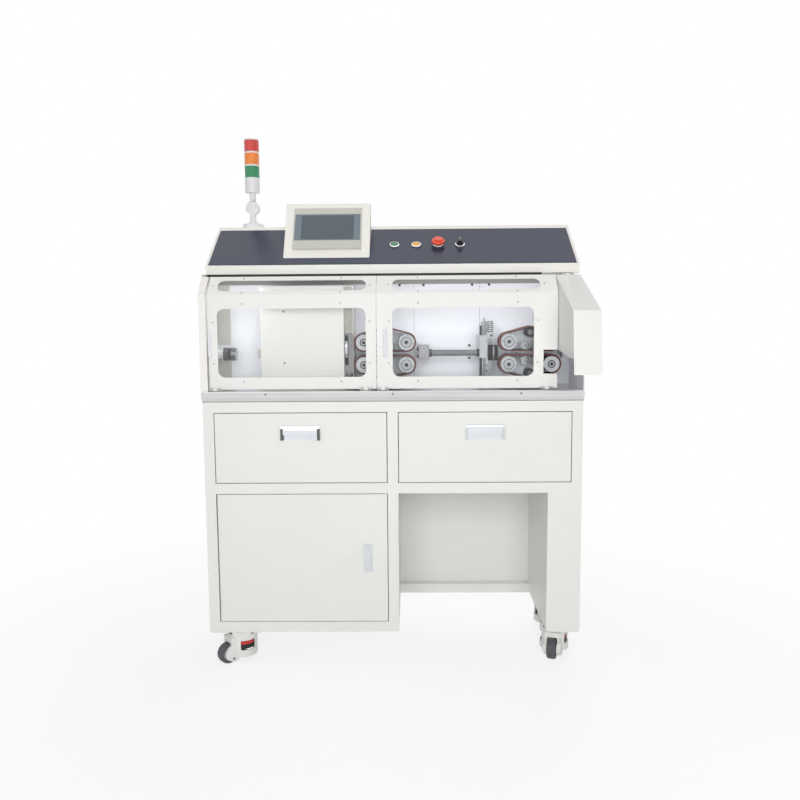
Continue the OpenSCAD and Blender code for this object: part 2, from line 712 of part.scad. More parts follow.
module cover_hinges() at_front() color(steel) {
    for (x = concat(hinge_places(left_cover_x0, left_cover_x1), hinge_places(middle_cover_x0, middle_cover_x1))) {
        for (s = [-1, 1]) {
            x_out = x + s * (knuckle_l + slip);
            rod_x(hinge_y, hinge_z, knuckle_r, x_out - knuckle_l / 2, x_out + knuckle_l / 2);
            slab(x_out - knuckle_l / 2, x_out + knuckle_l / 2, hinge_y - 3, hinge_y + 3, deck_z, hinge_z);
        }
        rod_x(hinge_y, hinge_z, hinge_pin_r, x - knuckle_l, x + knuckle_l);
    }
    for (s = [-1, 1]) {
        x_out = (hood_x0 + hood_x1) / 2 + s * (knuckle_l + slip);
        rod_x(hood_axis_y, hood_axis_z, knuckle_r, x_out - knuckle_l / 2, x_out + knuckle_l / 2);
        slab(x_out - knuckle_l / 2, x_out + knuckle_l / 2, hood_axis_y + 1, lip_y + 8, hood_axis_z - 3,
            hood_axis_z + 3);
        slab(x_out - knuckle_l / 2, x_out + knuckle_l / 2, lip_y, lip_y + 8, hood_axis_z - 3, console_z0);
    }
    rod_x(hood_axis_y, hood_axis_z, hinge_pin_r, (hood_x0 + hood_x1) / 2 - knuckle_l, (hood_x0 + hood_x1) / 2 + knuckle_l);
}

// A lift-up hood over the wire inlet: roof, front, and two cheeks
module infeed_hood() at_front() color(cream) {
    roof = [[hood_top_y, hood_axis_z], [hood_brow_y, hood_brow_z], [-hood_reach, deck_z + hood_bottom_h]];
    cheek_back_z = wire_z + 16;
    cheek_front_z = wire_z - 6;
    cheek_front = roof[1] + (roof[2] - roof[1]) * (hood_brow_z - cheek_front_z) / (hood_brow_z - roof[2][1]);
    mid = (hood_x0 + hood_x1) / 2;
    for (x = [hood_x0, hood_x1 - sheet_t]) along_x(x, x + sheet_t)
        polygon([roof[0], roof[1], cheek_front, [hood_top_y, cheek_back_z]]);
    along_x(hood_x0, hood_x1)
        polygon(concat(roof, [[-hood_reach + sheet_t, deck_z + hood_bottom_h],
            [hood_brow_y + sheet_t, hood_brow_z - sheet_t], [hood_top_y, hood_axis_z - 1.2 * sheet_t]]));
    difference() {
        union() {
            rod_x(hood_axis_y, hood_axis_z, knuckle_r, mid - knuckle_l / 2, mid + knuckle_l / 2);
            slab(mid - knuckle_l / 2, mid + knuckle_l / 2, hood_top_y - 8, hood_axis_y, hood_axis_z - knuckle_r,
                hood_axis_z - 1);
        }
        rod_x(hood_axis_y, hood_axis_z, hinge_pin_r + slip, mid - knuckle_l, mid + knuckle_l);
    }
}

// Wire path
module outlet_nozzle() at_front() color(steel) difference() {
    union() {
        rod_x(wire_y, wire_z, nozzle_r * 0.65, -half_w - 2, nozzle_x1 - 36);
        rod_x(wire_y, wire_z, nozzle_r, nozzle_x1 - 36, nozzle_x1);
        slab(-half_w + 1, -half_w + 9, wire_y - 30, wire_y + 30, wire_z - 30, wire_z + 30);
    }
    rod_x(wire_y, wire_z, wire_bore_r, -half_w - 5, nozzle_x1 + 5);
    rod_groove(nozzle_x1 - 18);
}

// A ring groove round the nozzle
module rod_groove(x) difference() {
    rod_x(wire_y, wire_z, nozzle_r + over, x - 3, x + 3);
    rod_x(wire_y, wire_z, nozzle_r - 3, x - 4, x + 4);
}

module cutter_housing() at_front() color(cream) {
    difference() {
        slab(cutter_x0, cutter_x1, cutter_y, wall_y, deck_z, cutter_top);
        slab(cutter_x0 + sheet_t, cutter_x1 - sheet_t, cutter_y + sheet_t, wall_y + over, deck_z - over,
            cutter_top - sheet_t);
        rod_x(wire_y, wire_z, 12, cutter_x0 - over, cutter_x1 + over);
    }
    difference() {
        slab(cutter_x1, cutter_x1 + column_w, cutter_y + 20, wall_y, deck_z, cutter_top);
        rod_x(wire_y, wire_z, 12, cutter_x1 - over, cutter_x1 + column_w + over);
    }
}

// Blade holders run between the rails of the mechanism wall and close on the wire line
module blade_holder(z0, z1, edge_z0, edge_z1) at_front() color(steel) {
    slab(blade_x - blade_half_w, blade_x + blade_half_w, blade_block_y, wall_y - slip, z0, z1);
    slab(blade_x - 2, blade_x + 2, blade_block_y - 5, blade_block_y + 25, edge_z0, edge_z1);
}

module upper_blade() blade_holder(wire_z + 32, wire_z + 130, wire_z + blade_gap, wire_z + 36);
module lower_blade() blade_holder(deck_z + 16, wire_z - 32, wire_z - 36, wire_z - blade_gap);

module guide_tube() at_front() color(steel) difference() {
    union() {
        rod_x(wire_y, wire_z, tube_r, tube_x0, tube_x1);
        slab(tube_x0 - 30, tube_x0, wire_y - 16, wall_y, wire_z - 16, wire_z + 22);
        rod_x(wire_y, wire_z, tube_r * 0.66, tube_x0 - 36, tube_x0 - 30);
    }
    rod_x(wire_y, wire_z, wire_bore_r, tube_x0 - 50, tube_x1 + over);
}

module guide_post() at_front() color(steel) {
    ring_x0 = tube_x1 + 25;
    difference() {
        union() {
            slab(tube_x1, tube_x1 + 20, wire_y - 18, wall_y, wire_z - 14, wire_z + 51);
            slab(tube_x1 + 20, tube_x1 + 44, wire_y - 14, wire_y + 10, wire_z + 42, wire_z + 58);
            slab(tube_x1 + 17, tube_x1 + 24, wire_y - 10, wire_y + 6, deck_z, wire_z + 48);
            rod_z(tube_x1 + 9, wire_y - 8, 6, deck_z, wire_z - 14);
            slab(tube_x1 + 14, tube_x1 + 42, wall_y - 44, wall_y, deck_z, deck_z + 190);
            rod_x(wire_y, wire_z, 23, ring_x0, ring_x0 + 28);
            slab(ring_x0 + 4, ring_x0 + 22, wire_y, wall_y - 44, wire_z - 8, wire_z + 8);
        }
        rod_x(wire_y, wire_z, wire_bore_r, tube_x1 - over, ring_x0);
        rod_x(wire_y, wire_z, 14, ring_x0 - over, ring_x0 + 30);
    }
    rod_z(tube_x1 + 13, wire_y - 6, 3, wire_z + 51, wire_z + 101);
    rod_z(tube_x1 + 32, wire_y - 2, 8, wire_z + 58, wire_z + 93);
}

// Feed sets: two belts over two shafts and a tension idler each, driven from the inner shaft
module feed_plates() at_front() color(steel) for (set_x = [outfeed_x, infeed_x], s = [1, -1]) {
    z = wire_z + s * feed_z;
    translate([set_x, 0, wire_z]) along_y(plate_y, plate_y + 10) belt_outline(s, -plate_inset);
    for (e = [-1, 1]) {
        rod_y(set_x + e * feed_span / 2, z, shaft_r, belt_y0 - 7, plate_y);
        rod_y(set_x + e * feed_span / 2, z, 12, plate_y + 10, wall_y);
    }
    for (p = roller_places(s)) rod_y(set_x + p[0], wire_z + p[1], roller_pin_r, belt_y0 - 3, plate_y);
}

// Idler and two press rollers of one belt, from the set's middle and the wire line
function roller_places(s) = [
    [0, s * (feed_z + idler_rise), idler_r],
    [-13.4, s * (feed_z - pulley_r + press_r), press_r],
    [13.4, s * (feed_z - pulley_r + press_r), press_r]
];

module press_rollers() at_front() color("silver") for (set_x = [outfeed_x, infeed_x], s = [1, -1], p = roller_places(s))
    difference() {
        rod_y(set_x + p[0], wire_z + p[1], p[2], belt_y0 + over, belt_y1 - over);
        rod_y(set_x + p[0], wire_z + p[1], roller_pin_r + slip, belt_y0 - over, belt_y1 + over);
    }

// Points on an arc from one angle to another
function arc(c, r, from, to) = [for (i = [0:arc_steps]) let (a = from + (to - from) * i / arc_steps)
    c + r * [cos(a), sin(a)]];

// The outline of one belt loop, seen along Y, with a radius added all round. The belt leaves the shafts
// for the idler where the two circles share a tangent.
module belt_outline(s, grow) {
    shaft = [feed_span / 2, feed_z];
    idler = [0, feed_z + idler_rise];
    reach = idler - shaft;
    leave = atan2(reach[1], reach[0]) - acos((pulley_r - idler_r) / norm(reach));
    mirror([0, s < 0 ? 1 : 0]) polygon(concat(
        arc(shaft, pulley_r + grow, -90, leave),
        arc(idler, idler_r + grow, leave, 180 - leave),
        arc([-shaft[0], shaft[1]], pulley_r + grow, 180 - leave, 270)));
}

module feed_belts() at_front() color([0.35, 0.12, 0.12]) for (set_x = [outfeed_x, infeed_x], s = [1, -1])
    translate([set_x, 0, wire_z]) along_y(belt_y0, belt_y1) difference() {
        belt_outline(s, belt_t);
        belt_outline(s, slip);
    }

module feed_pulley(set_x, e, s, drive) at_front() color("silver") {
    x = set_x + e * feed_span / 2;
    z = wire_z + s * feed_z;
    difference() {
        union() {
            rod_y(x, z, pulley_r, belt_y0 + slip, belt_y1 - slip);
            rod_y(x, z, drive ? pulley_r - 0.5 : pulley_r - 1, belt_y0 - 4, belt_y0 - slip);
            rod_y(x, z, pulley_r - 6, belt_y0 - over, belt_y0 + over);
        }
        rod_y(x, z, shaft_r + slip, belt_y0 - 10, belt_y1 + over);
    }
}

module outfeed_upper_drive_pulley() feed_pulley(outfeed_x, 1, 1, true);
module outfeed_upper_plain_pulley() feed_pulley(outfeed_x, -1, 1, false);
module outfeed_lower_drive_pulley() feed_pulley(outfeed_x, 1, -1, true);
module outfeed_lower_plain_pulley() feed_pulley(outfeed_x, -1, -1, false);
module infeed_upper_drive_pulley() feed_pulley(infeed_x, -1, 1, true);
module infeed_upper_plain_pulley() feed_pulley(infeed_x, 1, 1, false);
module infeed_lower_drive_pulley() feed_pulley(infeed_x, -1, -1, true);
module infeed_lower_plain_pulley() feed_pulley(infeed_x, 1, -1, false);

cabinet_carcass();
cabinet_face_frame();
table_top();
front_rail();
caster_plates();
mechanism_wall();
left_end_wall();
right_end_plate();
rear_cover();
console_shell();
console_panel();
hmi_housing();
hmi_unit();
control_bezels();
tower_base();
cover_hinges();
outlet_nozzle();
cutter_housing();
guide_tube();
guide_post();
feed_plates();
feed_belts();
press_rollers();
drawer_left();
drawer_right();
drawer_left_pull();
drawer_right_pull();
cupboard_door();
door_latch_lever();
start_button();
pause_button();
stop_button();
selector_knob();
tower_post();
lens_green();
lens_amber();
lens_red();
left_cover();
left_pane();
middle_cover();
middle_pane();
infeed_hood();
caster_yoke_fl();
caster_yoke_fr();
caster_yoke_rl();
caster_yoke_rr();
caster_wheel_fl();
caster_wheel_fr();
caster_wheel_rl();
caster_wheel_rr();
upper_blade();
lower_blade();
outfeed_upper_drive_pulley();
outfeed_upper_plain_pulley();
outfeed_lower_drive_pulley();
outfeed_lower_plain_pulley();
infeed_upper_drive_pulley();
infeed_upper_plain_pulley();
infeed_lower_drive_pulley();
infeed_lower_plain_pulley();
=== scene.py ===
import json
import math

import bmesh
import bpy
from mathutils import Matrix, Vector


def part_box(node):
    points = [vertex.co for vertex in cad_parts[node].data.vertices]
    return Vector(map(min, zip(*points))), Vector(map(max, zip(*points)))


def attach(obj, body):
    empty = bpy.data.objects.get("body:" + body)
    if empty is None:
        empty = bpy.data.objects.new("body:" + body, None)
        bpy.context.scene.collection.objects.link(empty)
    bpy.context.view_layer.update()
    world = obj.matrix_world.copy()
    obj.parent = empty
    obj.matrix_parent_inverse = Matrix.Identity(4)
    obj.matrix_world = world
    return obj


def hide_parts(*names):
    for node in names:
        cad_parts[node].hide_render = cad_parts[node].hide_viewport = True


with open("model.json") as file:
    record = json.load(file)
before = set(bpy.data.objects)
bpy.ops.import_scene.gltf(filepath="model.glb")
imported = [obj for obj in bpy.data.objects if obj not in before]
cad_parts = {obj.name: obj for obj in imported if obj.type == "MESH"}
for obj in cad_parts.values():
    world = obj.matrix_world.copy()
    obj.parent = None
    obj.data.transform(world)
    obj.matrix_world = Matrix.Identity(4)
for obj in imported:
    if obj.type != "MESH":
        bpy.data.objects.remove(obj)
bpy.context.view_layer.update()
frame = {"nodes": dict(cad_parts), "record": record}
NODES = frame["nodes"]
MM = 0.001
IMAGE_PX = 800


# Shader values that take part in Python arithmetic

class Value:
    """One output socket of a finish, with the operators that the finishes use."""

    def __init__(self, finish, socket):
        self.finish = finish
        self.socket = socket

    def _math(self, operation, first, second):
        return self.finish.node("ShaderNodeMath", {"operation": operation}, {0: first, 1: second})

    def __add__(self, other):
        return self._math("ADD", self, other)

    def __radd__(self, other):
        return self._math("ADD", other, self)

    def __sub__(self, other):
        return self._math("SUBTRACT", self, other)

    def __rsub__(self, other):
        return self._math("SUBTRACT", other, self)

    def __mul__(self, other):
        return self._math("MULTIPLY", self, other)

    def __rmul__(self, other):
        return self._math("MULTIPLY", other, self)

    def __pow__(self, other):
        return self._math("POWER", self, other)

    def above(self, edge):
        return self._math("GREATER_THAN", self, edge)


class Finish:
    """A procedural material around one Principled shader."""

    def __init__(self, name):
        self.material = bpy.data.materials.new(name)
        self.material.use_nodes = True
        self.tree = self.material.node_tree
        self.shader = self.tree.nodes["Principled BSDF"]

    def node(self, kind, settings=None, sockets=None, out=0):
        made = self.tree.nodes.new(kind)
        for key, value in (settings or {}).items():
            if key == "stops":
                self._set_stops(made.color_ramp, value)
            else:
                setattr(made, key, value)
        self._fill(made, sockets or {})
        return Value(self, made.outputs[out])

    @staticmethod
    def _set_stops(ramp, stops):
        while len(ramp.elements) < len(stops):
            ramp.elements.new(1.0)
        for element, (place, grey) in zip(ramp.elements, stops):
            element.position = place
            element.color = (grey, grey, grey, 1)

    def _fill(self, made, sockets):
        for key, value in sockets.items():
            if isinstance(value, Value):
                self.tree.links.new(value.socket, made.inputs[key])
            else:
                made.inputs[key].default_value = value

    def coords(self, stretch=(1, 1, 1)):
        place = self.node("ShaderNodeTexCoord", {}, {}, out="Object")
        return self.node("ShaderNodeMapping", {}, {"Vector": place, "Scale": stretch})

    def noise(self, scale, detail=3.0, stretch=(1, 1, 1)):
        return self.node("ShaderNodeTexNoise", {}, {"Vector": self.coords(stretch), "Scale": scale, "Detail": detail})

    def ramp(self, value, stops):
        return self.node("ShaderNodeValToRGB", {"stops": stops}, {0: value})

    def tint(self, factor, low, high):
        return self.node("ShaderNodeMix", {"data_type": "RGBA"}, {0: factor, 6: (*low, 1), 7: (*high, 1)}, out=2)

    def bump(self, height, strength, distance):
        return self.node("ShaderNodeBump", {}, {"Height": height, "Strength": strength, "Distance": distance})

    def surface(self, **sockets):
        names = {"color": "Base Color", "rough": "Roughness", "metal": "Metallic", "coat": "Coat Weight",
                 "alpha": "Alpha", "normal": "Normal", "ior": "IOR", "coat_rough": "Coat Roughness",
                 "specular": "Specular IOR Level", "emission": "Emission Color", "glow": "Emission Strength",
                 "see_through": "Transmission Weight", "aniso": "Anisotropic"}
        values = {}
        for key, value in sockets.items():
            plain_color = key in ("color", "emission") and not isinstance(value, Value)
            values[names[key]] = (*value, 1) if plain_color else value
        self._fill(self.shader, values)
        return self.material


def srgb(code):
    """A hex colour as linear values."""
    parts = [int(code[i:i + 2], 16) / 255 for i in (0, 2, 4)]
    return tuple(c / 12.92 if c <= 0.04045 else ((c + 0.055) / 1.055) ** 2.4 for c in parts)


# Finishes

def powder_coat(name, pale, dull, gloss=0.42):
    f = Finish(name)
    cloud = f.noise(5.0, 2.0)
    peel = f.noise(750.0, 2.0)
    return f.surface(color=f.tint(cloud, dull, pale), rough=gloss + 0.12 * (cloud - 0.5),
                     normal=f.bump(peel, 0.10, 0.0004))


def brushed_metal(name, pale, dull, stretch, rough, streak_scale=60.0):
    f = Finish(name)
    streaks = f.noise(streak_scale, 4.0, stretch)
    cloud = f.noise(9.0, 2.0)
    return f.surface(color=f.tint(streaks * 0.7 + cloud * 0.3, dull, pale), metal=1.0,
                     rough=rough + 0.22 * (streaks - 0.5), normal=f.bump(streaks, 0.08, 0.0002))


def machined_metal(name, pale, dull, rough):
    f = Finish(name)
    fine = f.noise(420.0, 3.0)
    cloud = f.noise(22.0, 2.0)
    return f.surface(color=f.tint(cloud, dull, pale), metal=1.0, rough=rough + 0.16 * (fine - 0.5),
                     normal=f.bump(fine, 0.05, 0.0002))


def moulded_plastic(name, pale, dull, rough, grain=0.06):
    f = Finish(name)
    fine = f.noise(620.0, 2.0)
    cloud = f.noise(30.0, 2.0)
    return f.surface(color=f.tint(cloud, dull, pale), rough=rough + 0.10 * (fine - 0.5),
                     normal=f.bump(fine, grain, 0.0003))


def lens_plastic(name, pale, dull):
    f = Finish(name)
    cloud = f.noise(40.0, 2.0)
    return f.surface(color=f.tint(cloud, dull, pale), rough=0.16 + 0.08 * cloud, coat=0.6, ior=1.49)


def gloss_panel(name, pale, dull):
    f = Finish(name)
    cloud = f.noise(4.0, 3.0)
    grain = f.noise(900.0, 2.0)
    return f.surface(color=f.tint(cloud, dull, pale), rough=0.24 + 0.10 * cloud, specular=0.2,
                     normal=f.bump(grain, 0.05, 0.0002))


def clear_sheet(name):
    f = Finish(name)
    smear = f.noise(14.0, 3.0)
    return f.surface(color=(0.90, 0.95, 0.97), rough=0.04 + 0.05 * smear, alpha=0.015 + 0.025 * smear, ior=1.49)


def rubber(name, pale, dull, rough=0.7):
    f = Finish(name)
    fine = f.noise(520.0, 3.0)
    scuff = f.noise(60.0, 4.0)
    return f.surface(color=f.tint(scuff, dull, pale), rough=rough + 0.14 * (scuff - 0.5),
                     normal=f.bump(fine, 0.15, 0.0004))


CREAM = powder_coat("cream_powder_coat", srgb("E9E9E6"), srgb("E4E4E1"))
WARM_CREAM = powder_coat("warm_cream_powder_coat", srgb("F0EEE8"), srgb("EBE9E3"))
# Cutter column's upper plate: cream plate darkened to grey, painted shade of the column.
COLUMN_SHADED_GREY = powder_coat("cutter_column_painted_shade", srgb("A8A89E"), srgb("A0A096"))
WALL_WHITE = powder_coat("mechanism_wall_white", srgb("F4F6FC"), srgb("EDF0F8"), 0.36)
# Grey for the wall corner by the left end wall: painted shade.
CORNER_SHADE_GREY = powder_coat("outlet_corner_painted_shade", srgb("CDCECB"), srgb("C3C4C1"), 0.5)
# Grey for the dark seams between wall plates, and for painted shade along the wall top under the console.
SEAM_AND_SHADE_GREY = powder_coat("shadow_grey_paint", srgb("9C9D9A"), srgb("8E8F8C"), 0.5)
STAINLESS = brushed_metal("stainless_rail", srgb("EDEDEC"), srgb("C6C6C6"), (0.04, 1, 1), 0.32)
STEEL = machined_metal("machined_steel", srgb("BDBDBF"), srgb("98989B"), 0.30)
DARK_STEEL = machined_metal("dark_steel", srgb("6A6A6D"), srgb("4C4C50"), 0.38)
ALUMINIUM = machined_metal("satin_aluminium", srgb("D6D8DB"), srgb("BFC2C6"), 0.34)
CHROME = machined_metal("polished_chrome", srgb("E2E3E5"), srgb("D2D4D7"), 0.12)
SLATE = gloss_panel("slate_control_panel", srgb("383D50"), srgb("32364A"))
SCREEN = gloss_panel("screen_glass", srgb("5E6870"), srgb("566068"))
KEY_STRIP = gloss_panel("screen_side_strip", srgb("7C8890"), srgb("737F87"))
BEZEL_GREY = moulded_plastic("screen_bezel_grey", srgb("C8C7BF"), srgb("BEBDB5"), 0.42)
WHITE_PLASTIC = moulded_plastic("white_plastic", srgb("ECECEC"), srgb("E2E2E3"), 0.32)
BLACK_PLASTIC = moulded_plastic("black_plastic", srgb("262628"), srgb("1B1B1D"), 0.40)
GREEN_BUTTON = moulded_plastic("green_button", srgb("10804C"), srgb("0C6E40"), 0.24, 0.02)
AMBER_BUTTON = moulded_plastic("amber_button", srgb("EAA922"), srgb("E09D16"), 0.24, 0.02)
RED_BUTTON = moulded_plastic("red_button", srgb("F0502C"), srgb("E44622"), 0.26, 0.02)
GREEN_LENS = lens_plastic("green_lens", srgb("11905A"), srgb("0A7A49"))
AMBER_LENS = lens_plastic("amber_lens", srgb("F58A1F"), srgb("EC7A12"))
RED_LENS = lens_plastic("red_lens", srgb("D8352A"), srgb("C82A20"))
CLEAR = clear_sheet("clear_pane")
BELT = rubber("belt_outer_rubber", srgb("7C4644"), srgb("683836"), 0.6)
BELT_TEETH = rubber("belt_tooth_rubber", srgb("232325"), srgb("18181A"))
TYRE = rubber("wheel_tread", srgb("5A5C60"), srgb("434548"), 0.55)
HUB_GREY = moulded_plastic("wheel_hub_grey", srgb("8A8C8F"), srgb("7C7E81"), 0.45)
CAP_DARK = moulded_plastic("pull_end_cap", srgb("5A5C5A"), srgb("484A49"), 0.42)
BRIGHT_ALUMINIUM = machined_metal("bright_aluminium", srgb("EDEFF3"), srgb("E0E3EA"), 0.22)
LATCH_ZINC = machined_metal("latch_zinc", srgb("E2E5E8"), srgb("D4D8DC"), 0.30)
# Chrome darkened to mid grey: painted reflection of dark surroundings, for the guide tube, the cutter column's lower
# plate and roller, and the nozzle rings.
CHROME_DARK_REFLECTION = machined_metal("chrome_painted_dark_reflection", srgb("9A9B9D"), srgb("828386"), 0.16)
# Near-black for painted shade in gaps, grooves and screw sockets.
RECESS_SHADE_BLACK = moulded_plastic("painted_recess_shade", srgb("1C1C1D"), srgb("141415"), 0.6)
BLACK_STEEL = machined_metal("blackened_steel", srgb("38383B"), srgb("29292C"), 0.24)
THUMB_RED = moulded_plastic("thumbwheel_red", srgb("D23A34"), srgb("B82E29"), 0.35)


# Mesh helpers

def finished(name, mesh, material, body):
    """Puts a finished mesh on a body under a name."""
    obj = bpy.data.objects.new(name, mesh)
    bpy.context.scene.collection.objects.link(obj)
    for one in material if isinstance(material, (list, tuple)) else [material]:
        mesh.materials.append(one)
    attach(obj, body)
    return obj


def softened(mesh, angle=30):
    """Smooth shading inside curved areas, with folds above the angle left sharp."""
    mesh.shade_smooth()
    mesh.set_sharp_from_angle(angle=math.radians(angle))
    return mesh


def baked(obj):
    """The object's mesh with its modifiers applied. The object is deleted."""
    graph = bpy.context.evaluated_depsgraph_get()
    mesh = bpy.data.meshes.new_from_object(obj.evaluated_get(graph))
    bpy.data.objects.remove(obj)
    return mesh


def bevelled(mesh, width, segments=2, angle=40):
    """The mesh with its sharp edges rounded, and flat faces that stay flat to the light."""
    obj = bpy.data.objects.new("bevel_work", softened(mesh))
    bpy.context.scene.collection.objects.link(obj)
    mod = obj.modifiers.new("edges", "BEVEL")
    mod.width = width
    mod.segments = segments
    mod.limit_method = "ANGLE"
    mod.angle_limit = math.radians(angle)
    mod.harden_normals = True
    return baked(obj)


def refined(node, body, material, width=1.2 * MM, segments=2, paint=None):
    """A copy of a CAD node with merged faces and rounded edges, which stands for the node."""
    bm = bmesh.new()
    bm.from_mesh(NODES[node].data)
    bmesh.ops.remove_doubles(bm, verts=bm.verts, dist=1e-6)
    bmesh.ops.dissolve_limit(bm, angle_limit=math.radians(0.3), verts=bm.verts, edges=bm.edges)
    if paint:
        for face in bm.faces:
            face.material_index = paint(face)
    mesh = bpy.data.meshes.new(node + "_finished")
    bm.to_mesh(mesh)
    bm.free()
    obj = finished(node + "_finished", bevelled(mesh, width, segments), material, body)
    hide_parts(node)
    return obj


FRONT_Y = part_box("cabinet_face_frame")[0].y
TO_MODEL = Matrix.Translation((0, FRONT_Y, 0)) @ Matrix.Scale(MM, 4)


def middle(face):
    """The middle of a CAD face in drawn mm, with Y from the cabinet's front face."""
    return (face.calc_center_median() - Vector((0, FRONT_Y, 0))) / MM


def mesh_of(bm, name):
    """A mesh from shapes drawn in mm, with Y from the cabinet's front face."""
    mesh = bpy.data.meshes.new(name)
    bmesh.ops.recalc_face_normals(bm, faces=bm.faces)
    bmesh.ops.transform(bm, matrix=TO_MODEL, verts=bm.verts)
    bm.to_mesh(mesh)
    bm.free()
    return mesh


def piece(name, body, materials, bm, edge=0.0, covers=()):
    """A finished piece from drawn shapes. It can stand for CAD nodes, and can have rounded edges (mm)."""
    mesh = mesh_of(bm, name)
    mesh = bevelled(mesh, edge * MM) if edge else softened(mesh)
    obj = finished(name, mesh, materials, body)
    if covers:
        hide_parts(*covers)
    return obj


def add_lathe(bm, profile, place, steps=40, slots=None):
    """Turns (radius, height) points about the local Z axis of a placement."""
    rings = []
    for radius, height in profile:
        if radius < 1e-7:
            rings.append([bm.verts.new(place @ Vector((0, 0, height)))])
            continue
        rings.append([bm.verts.new(place @ Vector((radius * math.cos(a), radius * math.sin(a), height)))
                      for a in (2 * math.pi * i / steps for i in range(steps))])
    for index, (low, high) in enumerate(zip(rings, rings[1:])):
        for i in range(steps):
            j = (i + 1) % steps
            corners = [low[i % len(low)], low[j % len(low)], high[j % len(high)], high[i % len(high)]]
            unique = list(dict.fromkeys(corners))
            if len(unique) > 2:
                face = bm.faces.new(unique)
                face.material_index = slots[index] if slots else 0


def add_slab(bm, low, high, slot=0):
    """A box between two corners."""
    corners = [bm.verts.new((x, y, z)) for z in (low[2], high[2]) for y in (low[1], high[1]) for x in (low[0], high[0])]
    for quad in ((0, 2, 3, 1), (4, 5, 7, 6), (0, 1, 5, 4), (2, 6, 7, 3), (0, 4, 6, 2), (1, 3, 7, 5)):
        bm.faces.new([corners[i] for i in quad]).material_index = slot


def round_outline(width, height, radius, steps=6):
    """Points of a rectangle with round corners about the origin, anticlockwise."""
    points = []
    for cx, cy, start in ((1, 1, 0), (-1, 1, 90), (-1, -1, 180), (1, -1, 270)):
        for i in range(steps + 1):
            a = math.radians(start + 90 * i / steps)
            points.append((cx * (width / 2 - radius) + radius * math.cos(a),
                           cy * (height / 2 - radius) + radius * math.sin(a)))
    return points


def add_prism(bm, outline, place, low, high, slot=0):
    """An outline drawn along the local Z axis of a placement, closed at both ends."""
    rings = [[bm.verts.new(place @ Vector((x, y, z))) for x, y in outline] for z in (low, high)]
    count = len(outline)
    for i in range(count):
        j = (i + 1) % count
        bm.faces.new((rings[0][i], rings[0][j], rings[1][j], rings[1][i])).material_index = slot
    bm.faces.new(list(reversed(rings[0]))).material_index = slot
    bm.faces.new(rings[1]).material_index = slot


def facing(origin, normal=(0, -1, 0), up=(0, 0, 1)):
    """A placement whose local Z points along normal and whose local Y leans towards up."""
    z = Vector(normal).normalized()
    x = Vector(up).cross(z).normalized()
    y = z.cross(x)
    turn = Matrix((x, y, z)).transposed().to_4x4()
    return Matrix.Translation(origin) @ turn


# Screws: a Geometry Nodes tree that sets a socket head on every point, along the point's own axis

def screw_tree():
    tree = bpy.data.node_groups.new("screw_heads", "GeometryNodeTree")
    face = tree.interface
    face.new_socket("Points", in_out="INPUT", socket_type="NodeSocketGeometry")
    for label, size in (("Head radius", 3 * MM), ("Head height", 2 * MM)):
        face.new_socket(label, in_out="INPUT", socket_type="NodeSocketFloat").default_value = size
    for label in ("Head finish", "Socket painted shade"):
        face.new_socket(label, in_out="INPUT", socket_type="NodeSocketMaterial")
    face.new_socket("Screws", in_out="OUTPUT", socket_type="NodeSocketGeometry")
    new, link = tree.nodes.new, tree.links.new
    start, end = new("NodeGroupInput"), new("NodeGroupOutput")
    axis = new("GeometryNodeInputNamedAttribute")
    axis.data_type = "FLOAT_VECTOR"
    axis.inputs["Name"].default_value = "axis"
    turn = new("FunctionNodeAlignRotationToVector")
    turn.axis = "Z"
    link(axis.outputs["Attribute"], turn.inputs["Vector"])
    parts = new("GeometryNodeJoinGeometry")
    # The six-sided disc on each head is painted shade: a dark mark that stands in for the shaded hex socket.
    for vertices, share, lift, finish in ((18, 1.0, 0.5, "Head finish"), (6, 0.5, 0.72, "Socket painted shade")):
        radius = new("ShaderNodeMath")
        radius.operation = "MULTIPLY"
        radius.inputs[1].default_value = share
        link(start.outputs["Head radius"], radius.inputs[0])
        rise = new("ShaderNodeMath")
        rise.operation = "MULTIPLY"
        rise.inputs[1].default_value = lift
        link(start.outputs["Head height"], rise.inputs[0])
        offset = new("ShaderNodeCombineXYZ")
        link(rise.outputs[0], offset.inputs["Z"])
        head = new("GeometryNodeMeshCylinder")
        head.inputs["Vertices"].default_value = vertices
        link(radius.outputs[0], head.inputs["Radius"])
        link(start.outputs["Head height"], head.inputs["Depth"])
        move = new("GeometryNodeTransform")
        link(head.outputs["Mesh"], move.inputs["Geometry"])
        link(offset.outputs[0], move.inputs["Translation"])
        paint = new("GeometryNodeSetMaterial")
        link(move.outputs[0], paint.inputs["Geometry"])
        link(start.outputs[finish], paint.inputs["Material"])
        link(paint.outputs[0], parts.inputs[0])
    spread = new("GeometryNodeInstanceOnPoints")
    link(start.outputs["Points"], spread.inputs["Points"])
    link(parts.outputs[0], spread.inputs["Instance"])
    link(turn.outputs["Rotation"], spread.inputs["Rotation"])
    real = new("GeometryNodeRealizeInstances")
    link(spread.outputs[0], real.inputs[0])
    link(real.outputs[0], end.inputs[0])
    return tree


SCREWS = screw_tree()


